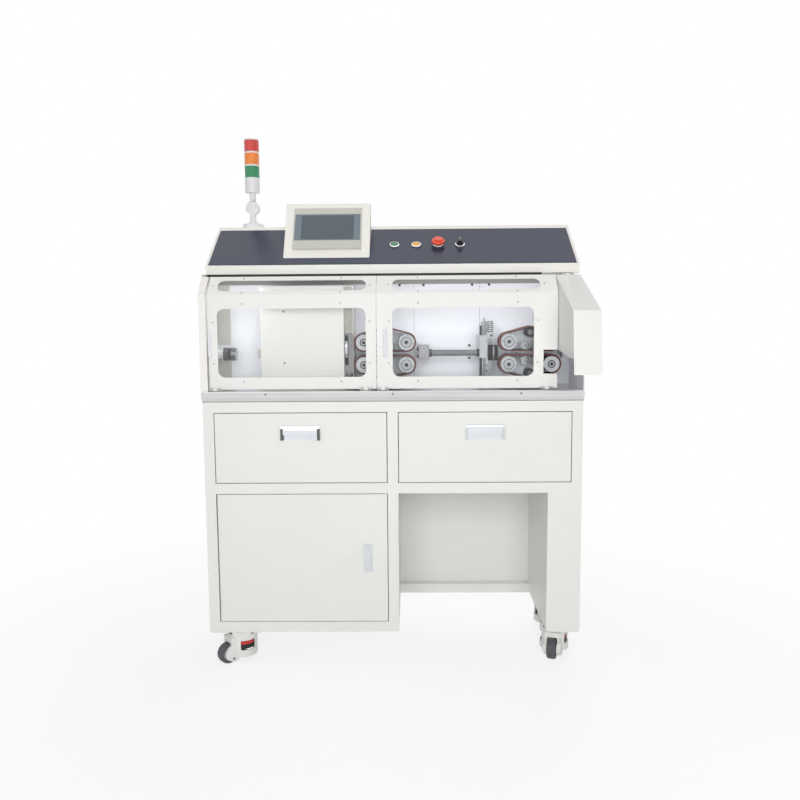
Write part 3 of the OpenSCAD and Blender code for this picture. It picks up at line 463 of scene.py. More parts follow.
# The socket finish colours the painted shade of each screw's hex socket.
def screws(name, body, places, radius, height=1.6 * MM, head=STEEL, socket=DARK_STEEL):
    """Screw heads at (point in mm, axis) places, as one plain mesh on a body."""
    mesh = bpy.data.meshes.new(name + "_points")
    mesh.from_pydata([TO_MODEL @ Vector(point) for point, _ in places], [], [])
    axes = mesh.attributes.new("axis", "FLOAT_VECTOR", "POINT")
    axes.data.foreach_set("vector", [c for _, axis in places for c in axis])
    obj = bpy.data.objects.new(name + "_points", mesh)
    bpy.context.scene.collection.objects.link(obj)
    mod = obj.modifiers.new("screws", "NODES")
    mod.node_group = SCREWS
    sizes = {"Head radius": radius, "Head height": height, "Head finish": head, "Socket painted shade": socket}
    for item in SCREWS.interface.items_tree:
        if item.in_out == "INPUT" and item.name in sizes:
            mod[item.identifier] = sizes[item.name]
    made = softened(baked(obj))
    screw_set = finished(name, made, (), body)
    return screw_set


# Blocks: a Geometry Nodes tree that sets a small box on every point, turned by the point's own angles

def block_tree():
    tree = bpy.data.node_groups.new("small_blocks", "GeometryNodeTree")
    face = tree.interface
    face.new_socket("Points", in_out="INPUT", socket_type="NodeSocketGeometry")
    face.new_socket("Block size", in_out="INPUT", socket_type="NodeSocketVector")
    face.new_socket("Block finish", in_out="INPUT", socket_type="NodeSocketMaterial")
    face.new_socket("Blocks", in_out="OUTPUT", socket_type="NodeSocketGeometry")
    new, link = tree.nodes.new, tree.links.new
    start, end = new("NodeGroupInput"), new("NodeGroupOutput")
    turn = new("GeometryNodeInputNamedAttribute")
    turn.data_type = "FLOAT_VECTOR"
    turn.inputs["Name"].default_value = "turn"
    block = new("GeometryNodeMeshCube")
    link(start.outputs["Block size"], block.inputs["Size"])
    spread = new("GeometryNodeInstanceOnPoints")
    link(start.outputs["Points"], spread.inputs["Points"])
    link(block.outputs["Mesh"], spread.inputs["Instance"])
    link(turn.outputs["Attribute"], spread.inputs["Rotation"])
    real = new("GeometryNodeRealizeInstances")
    link(spread.outputs[0], real.inputs[0])
    paint = new("GeometryNodeSetMaterial")
    link(real.outputs[0], paint.inputs["Geometry"])
    link(start.outputs["Block finish"], paint.inputs["Material"])
    link(paint.outputs[0], end.inputs[0])
    return tree


BLOCKS = block_tree()


def blocks(name, body, places, size, finish):
    """Small boxes (size in mm) at (point in mm, angles) places, as one plain mesh on a body."""
    mesh = bpy.data.meshes.new(name + "_points")
    mesh.from_pydata([TO_MODEL @ Vector(point) for point, _ in places], [], [])
    turns = mesh.attributes.new("turn", "FLOAT_VECTOR", "POINT")
    turns.data.foreach_set("vector", [c for _, turn in places for c in turn])
    obj = bpy.data.objects.new(name + "_points", mesh)
    bpy.context.scene.collection.objects.link(obj)
    mod = obj.modifiers.new("blocks", "NODES")
    mod.node_group = BLOCKS
    values = {"Block size": [c * MM for c in size], "Block finish": finish}
    for item in BLOCKS.interface.items_tree:
        if item.in_out == "INPUT" and item.name in values:
            mod[item.identifier] = values[item.name]
    block_set = finished(name, baked(obj), (), body)
    return block_set


# Operator screen and panel controls

PANEL = Matrix.Translation((0, 83, 1153)) @ Matrix.Rotation(math.radians(34.2), 4, "X")
SCREEN_FACE = Matrix.Translation((-190.5, 110, 1173.79)) @ Matrix.Rotation(math.radians(90 - 31.1), 4, "X")
CONTROL_UP = 104.8


def control_place(i):
    return PANEL @ Matrix.Translation((5.9 + 64.5 * i, CONTROL_UP, 0))


def rectangle(cx, cy, width, height):
    return [(cx + sx * width / 2, cy + sy * height / 2) for sx, sy in ((-1, -1), (1, -1), (1, 1), (-1, 1))]


def make_controls():
    bm = bmesh.new()
    ring = [(11.4, 2), (15, 2), (15, 4.8), (13.8, 6.6), (12.2, 7), (11.4, 6.4), (11.4, 2)]
    # A black ring under each chrome bezel: painted shadow that the bezel casts on the panel.
    bezel_shadow_ring = [(11.4, 0.1), (16.6, 0.1), (16.6, 1.6), (15.8, 2), (11.4, 2)]
    for i in range(4):
        add_lathe(bm, ring, control_place(i))
        add_lathe(bm, bezel_shadow_ring, control_place(i), slots=[1] * 4)
    piece("control_bezel_and_shadow_rings", "frame", [CHROME, BLACK_PLASTIC], bm, covers=["control_bezels"])
    flush = [(0, -8), (11, -8), (11, 6.6), (10.4, 7.6), (9.2, 8.2), (8.3, 7.6), (0, 7.3)]
    for i, (body, finish, slot) in enumerate((("start", GREEN_BUTTON, "green_plastic"),
                                              ("pause", AMBER_BUTTON, "amber_plastic"))):
        bm = bmesh.new()
        add_lathe(bm, flush, control_place(i))
        piece(body + "_button_cap", body, finish, bm, covers=[body + "_button"])
    bm = bmesh.new()
    add_lathe(bm, [(0, -8), (11, -8), (11, 11.5), (18.4, 11.6), (19.8, 13), (19.8, 17.2), (18.4, 19.2), (14.3, 19.9),
                   (13.6, 20.6), (13.4, 23.2), (12, 24.4), (0, 24.8)], control_place(2), 48)
    piece("stop_button_mushroom", "stop", RED_BUTTON, bm, covers=["stop_button"])
    bm = bmesh.new()
    add_lathe(bm, [(0, -8), (11, -8), (11, 12.6), (9.8, 13.8), (0, 13.8)], control_place(3))
    add_prism(bm, round_outline(12.6, 21.6, 5), control_place(3), 10.2, 21.5)
    tick = control_place(3) @ Matrix.Translation((0, 6, 0))
    add_prism(bm, round_outline(1.6, 6, 0.7), tick, 21.5, 21.8, slot=1)
    piece("selector_handle", "selector", [BLACK_PLASTIC, WHITE_PLASTIC], bm, 0.3, ["selector_knob"])


def make_screen():
    unit = SCREEN_FACE @ Matrix.Translation((0, 197 * 0.52, 0))
    bm = bmesh.new()
    add_prism(bm, round_outline(200, 146, 3), unit, 0, 3.4)
    for outline in (rectangle(0, 62, 200, 22), rectangle(0, -58, 200, 30), rectangle(-98.2, 4, 3.6, 94),
                    rectangle(98.2, 4, 3.6, 94)):
        add_prism(bm, outline, unit, 3.4, 5.6)
    piece("screen_bezel", "frame", BEZEL_GREY, bm, 0.7, ["hmi_unit"])
    bm = bmesh.new()
    add_prism(bm, rectangle(0, 4, 192.8, 94), unit, 3.4, 4.0)
    add_prism(bm, rectangle(0, 4, 155, 85), unit, 4.0, 4.2, slot=1)
    piece("screen_glass_pane", "frame", [KEY_STRIP, SCREEN], bm)


# Signal tower

TOWER = (-435.5, 300.0)
TOWER_FOOT_Z = 1279.5
TOWER_PIVOT_Z = 1341.5
LENS_PITCH = 39
LENS_H = 34


def add_ribbed_tube(bm, place, radius, depth, ribs, low, high):
    """A tube with upright ribs on its outside and a plain bore."""
    steps = ribs * 4
    rings = []
    for level, inside in ((low, True), (low, False), (high, False), (high, True)):
        ring = []
        for i in range(steps):
            a = 2 * math.pi * i / steps
            r = radius - 3 if inside else radius - depth * (0.5 - 0.5 * math.cos(ribs * a))
            ring.append(bm.verts.new(place @ Vector((r * math.cos(a), r * math.sin(a), level))))
        rings.append(ring)
    for k in range(4):
        low_ring, high_ring = rings[k], rings[(k + 1) % 4]
        for i in range(steps):
            j = (i + 1) % steps
            bm.faces.new((low_ring[i], low_ring[j], high_ring[j], high_ring[i]))


def make_tower():
    x, y = TOWER
    up = Matrix.Translation((x, y, 0))
    bm = bmesh.new()
    foot = [(0, 0), (31.5, 0), (31.5, 10.5), (30.6, 12.6), (28, 13.6), (17, 14.4), (15.6, 16), (14.8, 20.6), (10.4, 22),
            (9.2, 24), (9, 41), (0, 41)]
    add_lathe(bm, [(r, z + TOWER_FOOT_Z) for r, z in foot], up, 48)
    add_lathe(bm, [(0, 0), (20.5, 0), (20.5, 10.2), (19.8, 11.8), (18, 12.7), (12.8, 12.7), (12, 11.6), (9.6, 11.6),
                   (8.8, 12.9), (0, 13)], facing((x, y - 0.3, TOWER_PIVOT_Z)), 48)
    add_slab(bm, (x - 8, y - 12.6, 1314), (x + 8, y - 0.4, 1334))
    add_lathe(bm, [(0, 0), (3, 0), (3, 15.3), (0, 15.3)], facing((x, y - 0.3, TOWER_PIVOT_Z), (0, 1, 0)), 24)
    piece("tower_foot", "frame", WHITE_PLASTIC, bm, covers=["tower_base"])

    bm = bmesh.new()
    add_lathe(bm, [(3.3, 0), (20.5, 0), (20.5, 10.2), (19.8, 11.8), (18, 12.7), (3.3, 12.7), (3.3, 0)],
              facing((x, y + 0.3, TOWER_PIVOT_Z), (0, 1, 0)), 48)
    add_slab(bm, (x - 8, y + 0.4, 1349), (x + 8, y + 12.6, 1369))
    add_lathe(bm, [(0, 1363), (9, 1363), (9.2, 1384), (10.4, 1387.5), (20.6, 1387.8), (22, 1389), (22.5, 1391.5),
                   (22.5, 1432.4), (21.8, 1433.5), (10, 1433.5), (10, 1552 - 9), (0, 1552 - 9)], up, 48)
    for i in range(3):
        z = 1433.5 + LENS_PITCH * i + LENS_H
        top = [(21.8, 5), (10, 5)] if i < 2 else [(21.9, 4.2), (19, 4.9), (0, 5)]
        add_lathe(bm, [(r, h + z) for r, h in [(10, 0), (21.8, 0), (22.5, 0.7), (22.5, 3.6)] + top], up, 48)
    piece("tower_upright", "tower", WHITE_PLASTIC, bm, covers=["tower_post"])
    for i, (name, finish) in enumerate((("green", GREEN_LENS), ("amber", AMBER_LENS), ("red", RED_LENS))):
        bm = bmesh.new()
        low = 1433.5 + LENS_PITCH * i
        add_ribbed_tube(bm, up, 22.3, 0.5, 36, low + 0.1, low + LENS_H - 0.1)
        piece("tower_lens_" + name, "tower", finish, bm, covers=["lens_" + name])


# Drawer pulls and door latch

ALONG_X = Matrix(((0, 0, 1, 0), (1, 0, 0, 0), (0, 1, 0, 0), (0, 0, 0, 1)))
PULL_Z = 681
LATCH_X = -73
LATCH_Z = 316


def make_pull(side, cap_finish):
    name = "left" if side < 0 else "right"
    place = Matrix.Translation((side * 260, 0, PULL_Z)) @ ALONG_X
    grip = [(0, 21), (-4, 20.6), (-8, 18.6), (-11, 14.6), (-13, 9), (-14, 2), (-14, -5), (-12.4, -6.4), (-11.2, -4),
            (-11, 3), (-9, 8), (-6, 10.4), (-2, 11), (-2, -21), (0, -21)]
    bm = bmesh.new()
    add_prism(bm, grip, place, -48, 48)
    crown = [(0, 21), (-4, 20.6), (-8, 18.6), (-10.6, 15.2), (-11.5, 12), (0, 12)]
    cheek = [(0, 12), (-11.5, 12), (-13.4, 7), (-14, 0), (-14, -17), (-12, -21), (0, -21)]
    for x in (-55, 48):
        add_prism(bm, crown, place, x, x + 7)
        add_prism(bm, cheek, place, x, x + 7, slot=1)
    body = "drawer_" + name
    piece(body + "_grip", body, [BRIGHT_ALUMINIUM, cap_finish], bm, 0.4, [body + "_pull"])


def make_latch():
    def front_is_metal(face):
        return 1 if middle(face).y < -0.02 else 0

    refined("cupboard_door", "door", [CREAM, LATCH_ZINC], 0.8 * MM, paint=front_is_metal)
    bm = bmesh.new()
    lever = round_outline(12, 56, 5.9, 8)
    add_prism(bm, lever, facing((LATCH_X, -2.8, LATCH_Z)), 0, 3.6)
    add_prism(bm, round_outline(10, 10, 4.9, 8), facing((LATCH_X, -6.4, LATCH_Z - 20)), 0, 0.8)
    piece("latch_lever_bar", "latch_lever", LATCH_ZINC, bm, 0.9, ["door_latch_lever"])


# Feed sets

WIRE_Y = 107
WIRE_Z = 898
FEED_Z = 32.5
HALF_SPAN = 61.5
PULLEY_R = 24
IDLER_R = 14
IDLER_RISE = 27
PRESS_X = 13.4
PRESS_Z = 21.5
BELT_FRONT = 82
BELT_BACK = 132
BELT_T = 4.4
TOOTH_PITCH = 5.0
FEED_SETS = {"outfeed": (-21.7, 1), "infeed": (396.9, -1)}


def feed_pulley_profile(drive):
    """Profile points of a pulley and the slots of its segments, with heights from the wire's plane."""
    if drive:
        return ([(5.3, -24.7), (24, -24.7), (24, 24.7), (23.5, 25.3), (23.5, 28.2), (22.8, 29), (15.4, 29), (15, 27.8),
                 (13.8, 27.8), (13.4, 29), (10, 29), (9.4, 30.4), (6.4, 30.4), (5.4, 29.4), (5.3, -24.7)],
                [1, 1, 0, 0, 0, 0, 1, 1, 1, 0, 0, 0, 0, 1])
    return ([(5.3, -24.7), (24, -24.7), (24, 24.7), (23, 25.3), (23, 28.2), (22.2, 29), (11.4, 29), (10.8, 27.8),
             (8.4, 27.8), (7.8, 30), (5.4, 30), (5.3, -24.7)],
            [1, 1, 1, 0, 0, 0, 1, 1, 0, 0, 1])


def make_pulleys():
    for set_name, (set_x, inner) in FEED_SETS.items():
        for level, s in (("upper", 1), ("lower", -1)):
            for kind, e in (("drive", inner), ("plain", -inner)):
                name = f"{set_name}_{level}_{kind}"
                x, z = set_x + e * HALF_SPAN, WIRE_Z + s * FEED_Z
                bm = bmesh.new()
                profile, slots = feed_pulley_profile(kind == "drive")
                add_lathe(bm, profile, facing((x, WIRE_Y, z)), 56, slots)
                piece(name + "_disc", name + "_roll", [ALUMINIUM, DARK_STEEL], bm, covers=[name + "_pulley"])
                if kind == "drive":
                    turns = [math.radians(80 + 90 * k) for k in range(4)]
                    places = [((x + 19.6 * math.cos(a), WIRE_Y - 29, z + 19.6 * math.sin(a)), (0, -1, 0)) for a in turns]
                    screws(name + "_screws", name + "_roll", places, 2.0 * MM, 0.8 * MM)


def make_rollers():
    idler = [(4.4, -24), (14, -24), (14, 22), (13, 24), (9.4, 24), (9, 21), (6.6, 21), (6.2, 23.4), (4.4, 23.4)]
    press = [(4.4, -24), (13, -24), (13, 22.6), (12, 24), (9.2, 24), (8.6, 22), (7.2, 22), (6.8, 24), (4.4, 24)]
    bm = bmesh.new()
    ends = []
    for set_x, _ in FEED_SETS.values():
        for s in (1, -1):
            add_lathe(bm, idler, facing((set_x, WIRE_Y, WIRE_Z + s * (FEED_Z + IDLER_RISE))), 40,
                      [2, 2, 2, 2, 1, 1, 0, 0])
            ends.append(((set_x, BELT_FRONT - 3, WIRE_Z + s * (FEED_Z + IDLER_RISE)), (0, -1, 0)))
            for side in (-1, 1):
                x, z = set_x + side * PRESS_X, WIRE_Z + s * PRESS_Z
                add_lathe(bm, press, facing((x, WIRE_Y, z)), 40, [0, 0, 0, 0, 2, 2, 0, 0])
                ends.append(((x, BELT_FRONT - 3, z), (0, -1, 0)))
    piece("feed_roller_set", "frame", [BRIGHT_ALUMINIUM, DARK_STEEL, BLACK_PLASTIC], bm, covers=["press_rollers"])
    screws("roller_pin_ends", "frame", ends, 3.6 * MM, 0.6 * MM)
    shafts = [((set_x + e * HALF_SPAN, BELT_FRONT - 7, WIRE_Z + s * FEED_Z), (0, -1, 0))
              for set_x, _ in FEED_SETS.values() for e in (-1, 1) for s in (1, -1)]
    screws("shaft_ends", "frame", shafts, 4.6 * MM, 0.5 * MM, DARK_STEEL, RECESS_SHADE_BLACK)


def arc(centre, radius, start, stop, steps=20):
    angles = [math.radians(start + (stop - start) * i / steps) for i in range(steps + 1)]
    return [(centre[0] + radius * math.cos(a), centre[1] + radius * math.sin(a)) for a in angles]


def belt_path(s, grow):
    """One belt loop round two shafts and an idler, grown by a distance, from the set's middle and the wire."""
    reach = math.hypot(HALF_SPAN, IDLER_RISE)
    leave = math.degrees(math.atan2(IDLER_RISE, -HALF_SPAN) - math.acos((PULLEY_R - IDLER_R) / reach))
    loop = (arc((HALF_SPAN, FEED_Z), PULLEY_R + grow, -90, leave)
            + arc((0, FEED_Z + IDLER_RISE), IDLER_R + grow, leave, 180 - leave)
            + arc((-HALF_SPAN, FEED_Z), PULLEY_R + grow, 180 - leave, 270))
    return [(x, s * z) for x, z in loop]


def belt_teeth(set_x, s):
    """Tooth places along the straight runs of one belt."""
    path = belt_path(s, -0.5)
    places = []
    for (ax, az), (bx, bz) in zip(path, path[1:] + path[:1]):
        run = math.hypot(bx - ax, bz - az)
        if run < 20:
            continue
        lean = math.atan2(bz - az, bx - ax)
        for k in range(int(run / TOOTH_PITCH)):
            t = (k + 0.5) * TOOTH_PITCH / run
            places.append(((set_x + ax + (bx - ax) * t, (BELT_FRONT + BELT_BACK) / 2, WIRE_Z + az + (bz - az) * t),
                           (0, -lean, 0)))
    return places


def make_belts():
    bm = bmesh.new()
    teeth = []
    for set_x, _ in FEED_SETS.values():
        for s in (1, -1):
            loops = []
            for grow, y in ((0.4, BELT_FRONT), (1.4, BELT_FRONT), (BELT_T, BELT_FRONT), (BELT_T, BELT_BACK), (0.4, BELT_BACK)):
                loops.append([bm.verts.new((set_x + x, y, WIRE_Z + z)) for x, z in belt_path(s, grow)])
            for k, slot in enumerate((1, 0, 0, 1, 1)):
                one, two = loops[k], loops[(k + 1) % 5]
                for i in range(len(one)):
                    j = (i + 1) % len(one)
                    bm.faces.new((one[i], one[j], two[j], two[i])).material_index = slot
            teeth += belt_teeth(set_x, s)
    piece("feed_belt_loops", "frame", [BELT, BELT_TEETH], bm, covers=["feed_belts"])
    blocks("feed_belt_teeth", "frame", teeth, (2.6, 49, 1.8), BELT_TEETH)


# Guide tube, guide post, cutter and mechanism wall

TUBE_X0 = 106
TUBE_X1 = 252


def make_guides():
    bm = bmesh.new()
    add_slab(bm, (TUBE_X0 - 30, 91, 882), (TUBE_X0, 200, 920))
    piece("guide_block", "frame", STEEL, bm, 1.0)
    bm = bmesh.new()
    along = facing((TUBE_X0, WIRE_Y, WIRE_Z), (1, 0, 0))
    add_lathe(bm, [(5, 0), (11.5, 0), (11.5, 7), (9, 7.4), (9, 139), (11.5, 139), (11.5, 146), (5, 146), (5, 0)], along,
              40, [1, 1, 1, 0, 1, 1, 1, 1])
    for z in (889, 911):
        add_lathe(bm, [(0, 0), (4.6, 0), (4.6, 6), (0, 6)], facing((TUBE_X0 - 36, 99, z), (1, 0, 0)), 24, [1, 1, 1])
    piece("guide_tube_bright", "frame", [CHROME_DARK_REFLECTION, DARK_STEEL], bm, covers=["guide_tube"])
    screws("guide_screws", "frame", [((TUBE_X0 - 15, 91, 911), (0, -1, 0))], 6.2 * MM, 1.2 * MM, ALUMINIUM)

    def post_finish(face):
        point = middle(face)
        if point.x > TUBE_X1 + 24.9 and math.hypot(point.y - WIRE_Y, point.z - WIRE_Z) < 24:
            return 1
        return 2 if point.z > WIRE_Z + 58.2 and point.x > TUBE_X1 + 22 else 0

    refined("guide_post", "frame", [ALUMINIUM, BLACK_STEEL, BRIGHT_ALUMINIUM], 0.7 * MM, paint=post_finish)
    bm = bmesh.new()
    for low, high in ((799, 883.8), (949.2, 977)):
        add_slab(bm, (TUBE_X1 + 0.5, 90, low), (TUBE_X1 + 6.5, 99, high))
    ring = facing((TUBE_X1 + 38, WIRE_Y, WIRE_Z), (1, 0, 0))
    add_lathe(bm, [(22.6, 0), (23.3, 0), (23.3, 4), (22.6, 4)], ring, 48, [1] * 3)
    for k in range(6):
        grip = Matrix.Translation((TUBE_X1 + 32, WIRE_Y - 2, WIRE_Z + 60 + 5.6 * k))
        add_lathe(bm, [(7.9, 0), (8.4, 0.5), (8.4, 2.2), (7.9, 2.7)], grip, 32, [2] * 3)
    piece("guide_post_trim", "frame", [BLACK_PLASTIC, STEEL, DARK_STEEL], bm)
    face = (0, -1, 0)
    places = [((TUBE_X1 + 20.5, 97, z), face) for z in (845, 862, 930, 944)]
    screws("guide_post_screws", "frame", places, 2.6 * MM, 1.0 * MM, DARK_STEEL, RECESS_SHADE_BLACK)
    screws("clamp_screw", "frame", [((TUBE_X1 + 34, 93, WIRE_Z + 50), face)], 3.6 * MM, 1.0 * MM, DARK_STEEL, RECESS_SHADE_BLACK)


def make_cutter_front():
    bm = bmesh.new()
    # The upper plate's grey is painted shade on a cream plate.
    add_slab(bm, (-138, 78.6, 960), (-114, 80, 1091))
    add_slab(bm, (-138, 78.6, 799), (-114, 80, 959), slot=1)
    # A thin black sheet behind the edge-on roller: painted shade on the lower plate.
    add_slab(bm, (-137.5, 78.2, 866), (-127.5, 78.6, 952), slot=3)
    wheel = facing((-137, WIRE_Y, 911), (1, 0, 0))
    add_lathe(bm, [(30, 0), (36, 0), (37, 1), (37, 7), (36, 8), (30, 8)], wheel, 64, [2] * 5)
    piece("cutter_column_plates", "frame", [COLUMN_SHADED_GREY, CHROME_DARK_REFLECTION, CHROME, RECESS_SHADE_BLACK], bm, 0.3)
    bm = bmesh.new()
    add_slab(bm, (-392, 84, 887), (-377.2, 119, 912))
    piece("cutter_inlet_bush", "frame", BEZEL_GREY, bm, 1.5)
    places = [((-310, 60, z), (0, -1, 0)) for z in (1021, 874)]
    places += [((-126, 78.6, z), (0, -1, 0)) for z in (981, 838)]
    screws("cutter_screws", "frame", places, 3.4 * MM)


INLET_DEPTH = 7
REAR_Y = (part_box("rear_cover")[1].y - FRONT_Y) / MM - INLET_DEPTH
BAND_Z = 1101
NOZZLE_GROOVE_X = -474


def make_wall_details():
    # The band along the wall top is painted shade under the console; the thin strips are dark seams between the wall
    # plates.
    bm = bmesh.new()
    add_slab(bm, (-533, 199, BAND_Z), (533, 200, 1126.6))
    for x in (63, 261):
        add_slab(bm, (x - 0.5, 199.7, 799), (x + 0.5, 200, BAND_Z))
    piece("wall_seams_and_shade_band", "frame", SEAM_AND_SHADE_GREY, bm)
    # Grey panels at the wall's left end: painted shade of the corner by the left end wall, above and below the nozzle.
    bm = bmesh.new()
    for low, high in ((799, 879.5), (922, BAND_Z)):
        add_slab(bm, (-533, 198.6, low), (-494, 200, high))
    piece("outlet_corner_shade_panels", "frame", CORNER_SHADE_GREY, bm)
    # A black strip behind the gap under the console: painted shade in the gap.
    bm = bmesh.new()
    add_slab(bm, (-528, 63, 1119), (424, 64.5, 1126.6))
    piece("console_gap_shade_strip", "frame", RECESS_SHADE_BLACK, bm)
    bm = bmesh.new()
    add_slab(bm, (204, 198.5, 872), (258, 200, 925))
    piece("wall_cover_plate", "frame", WALL_WHITE, bm, 0.4)
    bm = bmesh.new()
    add_slab(bm, (534, 80, 838), (536.6, 200, 884))
    piece("end_plate_riser", "frame", WALL_WHITE, bm, 0.4)
    # A black ring between the nozzle's two rings: painted shade in the groove.
    bm = bmesh.new()
    groove = facing((NOZZLE_GROOVE_X, WIRE_Y, WIRE_Z), (1, 0, 0))
    add_lathe(bm, [(16, -2.9), (18, -2.9), (18, 2.9), (16, 2.9)], groove, 40)
    piece("nozzle_groove_shade_ring", "frame", RECESS_SHADE_BLACK, bm)
    places = [((x, 200, 1098), (0, -1, 0)) for x in (20, 92, 238, 289)]
    places += [((230, 198.5, z), (0, -1, 0)) for z in (878, 916)]
    screws("wall_screws", "frame", places, 4.0 * MM, 1.6 * MM, DARK_STEEL, RECESS_SHADE_BLACK)
    rear = [((x, REAR_Y, z), (0, 1, 0)) for x in (-515, -172, 172, 515) for z in (815, 1110)]
    screws("rear_cover_screws", "frame", rear, 4.0 * MM, 1.6 * MM)
    rail = [((x, -6, 790), (0, -1, 0)) for x in (-355, 2, 360)]
    screws("rail_screws", "frame", rail, 3.2 * MM, 1.0 * MM, STEEL)


# Guards: screws, handles, and the clear strips behind the slots

SLANT_ANGLE = math.atan2(50.88, 48)
SLANT = Matrix.Translation((0, 10, 1069)) @ Matrix.Rotation(SLANT_ANGLE, 4, "X")
SLANT_SCREW_UPS = (6.5, 62.5)
SLANT_OUT = (0, -math.sin(SLANT_ANGLE), math.cos(SLANT_ANGLE))
GUARDS = {"left": {"slot": (-490, -73), "tops": (-418, -143), "sides": (-501, -62.5), "handle": (-515, -507, 898, 966)},
          "middle": {"slot": (2, 415), "tops": (73, 350), "sides": (-9, 407), "handle": (-24, -14, 893, 972)}}


def make_guard_details():
    for name, guard in GUARDS.items():
        body = name + "_guard"
        low, high = guard["slot"]
        places = [((x, 10, z), (0, -1, 0)) for x in guard["tops"] for z in (1043, 824.5)]
        places += [((x, 10, z), (0, -1, 0)) for x in guard["sides"] for z in (992, 875.5)]
        screws(name + "_guard_screws", body, places, 3.0 * MM, 0.9 * MM, ALUMINIUM, STEEL)
        spots = [(x, up) for x in guard["tops"] for up in SLANT_SCREW_UPS] + [(x, 34) for x in (low - 13, high + 12)]
        places = [(SLANT @ Vector((x, up, 0)), SLANT_OUT) for x, up in spots]
        screws(name + "_slant_screws", body, places, 2.4 * MM, 0.9 * MM)
        bm = bmesh.new()
        strip = [SLANT @ Vector((x, up, out)) for out in (-5, -2.6) for up in (5, 63) for x in (low - 8, high + 8)]
        corners = [bm.verts.new(point) for point in strip]
        for quad in ((0, 2, 3, 1), (4, 5, 7, 6), (0, 1, 5, 4), (2, 6, 7, 3), (0, 4, 6, 2), (1, 3, 7, 5)):
            bm.faces.new([corners[i] for i in quad])
        piece(name + "_slot_strip", body, CLEAR, bm)
        x0, x1, z0, z1 = guard["handle"]
        bm = bmesh.new()
        add_slab(bm, (x0, 2, z0), (x1, 10, z1))
        piece(name + "_guard_handle", body, BRIGHT_ALUMINIUM, bm, 1.2)


# Casters

CASTERS = {"fl": (-450, 44, 222), "fr": (478, 84, 253), "rl": (-475, 290, 268), "rr": (492, 290, 268)}
TRAIL = 50
WHEEL_R = 30
CHEEK_OUT = 27.2
BEARING_R = 42.4
THUMB_R = 27
THUMB_LOW = 55
THUMB_TOP = 65
NUT_R = 17.5
DIAL_R = 36
DIAL_START = 40
CHEEK_R = 24


def make_casters():
    for corner, (x, y, turn) in CASTERS.items():
        t = math.radians(turn)
        ahead, across = Vector((math.cos(t), math.sin(t), 0)), Vector((-math.sin(t), math.cos(t), 0))
        hub = Vector((x, y, 0))
        axle = hub + ahead * TRAIL + Vector((0, 0, WHEEL_R))

        def cast_finish(face, hub=hub):
            reach = max((Vector((v.co.x, v.co.y - FRONT_Y, 0)) / MM - hub).length for v in face.verts)
            height = middle(face).z
            if reach < THUMB_R + 0.2 and THUMB_LOW - 0.2 < height < THUMB_TOP + 0.2:
                return 1
            return 2 if reach < NUT_R + 0.2 and height < THUMB_LOW else 0

        refined("caster_yoke_" + corner, "yoke_" + corner, [CREAM, THUMB_RED, BLACK_PLASTIC], 1.2 * MM,
                paint=cast_finish)
        place = Matrix.Translation(hub) @ Matrix.Rotation(t, 4, "Z")
        bm = bmesh.new()
        add_prism(bm, [(0, 0)] + arc((0, 0), DIAL_R, DIAL_START, 360 - DIAL_START, 48), place, 53, 65)
        add_prism(bm, [(0, 0)] + arc((0, 0), DIAL_R, DIAL_START, 360 - DIAL_START, 48), place, 40, 53, slot=1)
        piece("caster_dial_" + corner, "yoke_" + corner, [THUMB_RED, BLACK_PLASTIC], bm, 0.6)
        turns = [math.radians(DIAL_START + 6 + 7.2 * i) for i in range(40)]
        ribs = [(place @ Vector((DIAL_R * math.cos(a), DIAL_R * math.sin(a), 46.5)), (0, 0, a + t)) for a in turns]
        blocks("dial_ribs_" + corner, "yoke_" + corner, ribs, (1.2, 2.2, 11), BLACK_PLASTIC)
        bm = bmesh.new()
        near = across if across.y < 0 else -across
        cheek = [(CHEEK_R - 4, 14.4), (CHEEK_R, 16), (CHEEK_R, 25), (CHEEK_R - 1.2, CHEEK_OUT - 0.4),
                 (CHEEK_R - 4, CHEEK_OUT), (0, CHEEK_OUT)]
        add_lathe(bm, [(0, 14.4)] + cheek, facing(axle - ahead * 8 + Vector((0, 0, 3)), near), 48)
        piece("caster_cheek_" + corner, "yoke_" + corner, CREAM, bm)
        # Black arcs under the top plate at two sides only: the bearing's black rubber, and painted shade in the gap
        # under the plate.
        bm = bmesh.new()
        for start, stop in ((-42, 14), (94, 138)):
            band = arc((0, 0), BEARING_R, start, stop) + arc((0, 0), BEARING_R - 4, stop, start)
            add_prism(bm, band, place, 84, 92.6)
        piece("caster_bearing_and_shade_" + corner, "yoke_" + corner, BLACK_PLASTIC, bm)
        bolts = [(axle - ahead * 4 + near * CHEEK_OUT + Vector((0, 0, -11)), near)]
        screws("caster_axle_bolts_" + corner, "yoke_" + corner, bolts, 4.2 * MM, 1.4 * MM)
        bm = bmesh.new()
        half = [(22, 12.4), (27, 13), (29.2, 10.6), (30, 5), (30, 0)]
        tread = [(r, -h) for r, h in half] + [(r, h) for r, h in reversed(half[:-1])]
        profile = [(4.4, -13), (9, -13), (9.4, -11), (21, -10.4)] + tread + [(21, 10.4), (9.4, 11), (9, 13), (4.4, 13),
                                                                            (4.4, -13)]
        slots = [1, 1, 1] + [0] * (len(tread) + 1) + [1] * 4
        add_lathe(bm, profile, facing(axle, across), 48, slots)
        piece("caster_tyre_" + corner, "wheel_" + corner, [TYRE, HUB_GREY], bm, covers=["caster_wheel_" + corner])


# Finished copies of the plain CAD nodes

